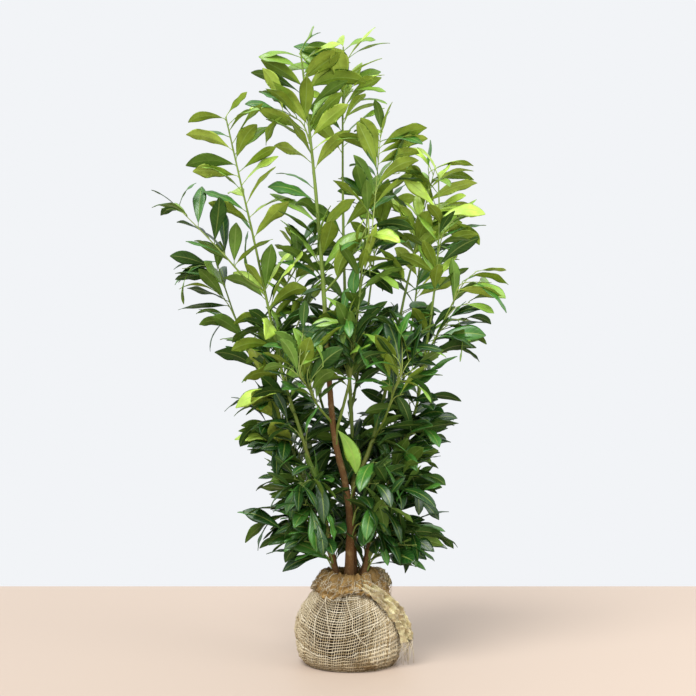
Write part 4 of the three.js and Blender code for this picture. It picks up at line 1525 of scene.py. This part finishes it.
class SHRUB_OT_drape_ends(bpy.types.Operator):
    """Drape the hessian's loose ends over the ball, with their frayed threads"""

    bl_idname = "shrub.drape_ends"
    bl_label = "Drape ends"

    def execute(self, context):
        settings = context.scene.shrub_ball
        loose = cloth_finish("loose_jute", settings.loose[:], settings.stain[:], 64)
        for node, end in CLOTH_ENDS.items():
            drape_end(node, end, loose, yarn_finishes(settings))
        return {"FINISHED"}


class SHRUB_OT_lay_strands(bpy.types.Operator):
    """Lay straws and loose threads over the ball"""

    bl_idname = "shrub.lay_strands"
    bl_label = "Lay strands"

    def execute(self, context):
        lay_strands(yarn_finishes(context.scene.shrub_ball))
        return {"FINISHED"}


FLOOR_WIDTH = 12
FLOOR_FRONT = 6  # how far the floor reaches in front of the plant
FLOOR_DEPTH = 0.001  # under the plant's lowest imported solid
CAMERA_ASIDE = -0.0058
KEY_PLACE = (-1.3, -2.4, 4.0)
FILL_PLACE = (2.6, -1.8, 1.8)
FILL_SIZE = 2.2
CROWN_MIDDLE = Vector((0, 0, 0.8))


def hang_lamp(scene, light, place):
    """A lamp at a place, aimed at the middle of the crown."""
    lamp = bpy.data.objects.new(light.name, light)
    lamp.location = place
    aim = CROWN_MIDDLE - Vector(place)
    lamp.rotation_euler = aim.to_track_quat("-Z", "Y").to_euler()
    scene.collection.objects.link(lamp)


class SHRUB_OT_set_stage(bpy.types.Operator):
    """Lay the floor, hang the lights and place the camera"""

    bl_idname = "shrub.set_stage"
    bl_label = "Set stage"

    def execute(self, context):
        settings = context.scene.shrub_studio
        scene = context.scene
        bpy.ops.mesh.primitive_plane_add(size=1)
        floor = context.object
        floor.name = "studio_floor"
        floor.scale = (FLOOR_WIDTH, settings.floor + FLOOR_FRONT, 1)
        floor.location = (0, (settings.floor - FLOOR_FRONT) / 2, -FLOOR_DEPTH)
        floor.data.materials.append(plain_finish("floor_boards", settings.boards[:], 0.55))
        world = bpy.data.worlds.new("backdrop")
        world.use_nodes = True
        background = world.node_tree.nodes["Background"]
        background.inputs["Color"].default_value = (*settings.wall, 1)
        background.inputs["Strength"].default_value = 1.0
        scene.world = world
        sun = bpy.data.lights.new("key_light", "SUN")
        sun.energy = settings.key
        sun.angle = settings.softness
        hang_lamp(scene, sun, KEY_PLACE)
        area = bpy.data.lights.new("fill_light", "AREA")
        area.energy = settings.fill
        area.size = FILL_SIZE
        hang_lamp(scene, area, FILL_PLACE)
        camera = bpy.data.objects.new("camera", bpy.data.cameras.new("camera"))
        camera.location = (CAMERA_ASIDE, -settings.distance, settings.height)
        camera.rotation_euler = (math.pi / 2 + settings.tilt, 0, 0)
        camera.data.lens = settings.focal
        scene.collection.objects.link(camera)
        scene.camera = camera
        scene.view_settings.view_transform = "Standard"
        return {"FINISHED"}


OPERATORS = (
    SHRUB_OT_grow_bark,
    SHRUB_OT_grow_sprays,
    SHRUB_OT_weave_ball,
    SHRUB_OT_gather_collar,
    SHRUB_OT_drape_ends,
    SHRUB_OT_lay_strands,
    SHRUB_OT_set_stage,
)


class SHRUB_PT_panel(bpy.types.Panel):
    """The shrub's steps, in the order they are taken"""

    bl_label = "Root-balled Shrub"
    bl_space_type = "VIEW_3D"
    bl_region_type = "UI"
    bl_category = "Shrub"

    def draw(self, context):
        for operator in OPERATORS:
            self.layout.operator(operator.bl_idname)


CLASSES = (*SETTINGS.values(), *OPERATORS, SHRUB_PT_panel)


def register():
    for kind in CLASSES:
        bpy.utils.register_class(kind)
    for name, kind in SETTINGS.items():
        setattr(bpy.types.Scene, name, bpy.props.PointerProperty(type=kind))


def unregister():
    for name in SETTINGS:
        delattr(bpy.types.Scene, name)
    for kind in reversed(CLASSES):
        bpy.utils.unregister_class(kind)


def main():
    register()
    bpy.ops.shrub.grow_bark()
    bpy.ops.shrub.grow_sprays()
    bpy.ops.shrub.weave_ball()
    bpy.ops.shrub.gather_collar()
    bpy.ops.shrub.drape_ends()
    bpy.ops.shrub.lay_strands()
    bpy.ops.shrub.set_stage()


if __name__ == "__main__":
    main()
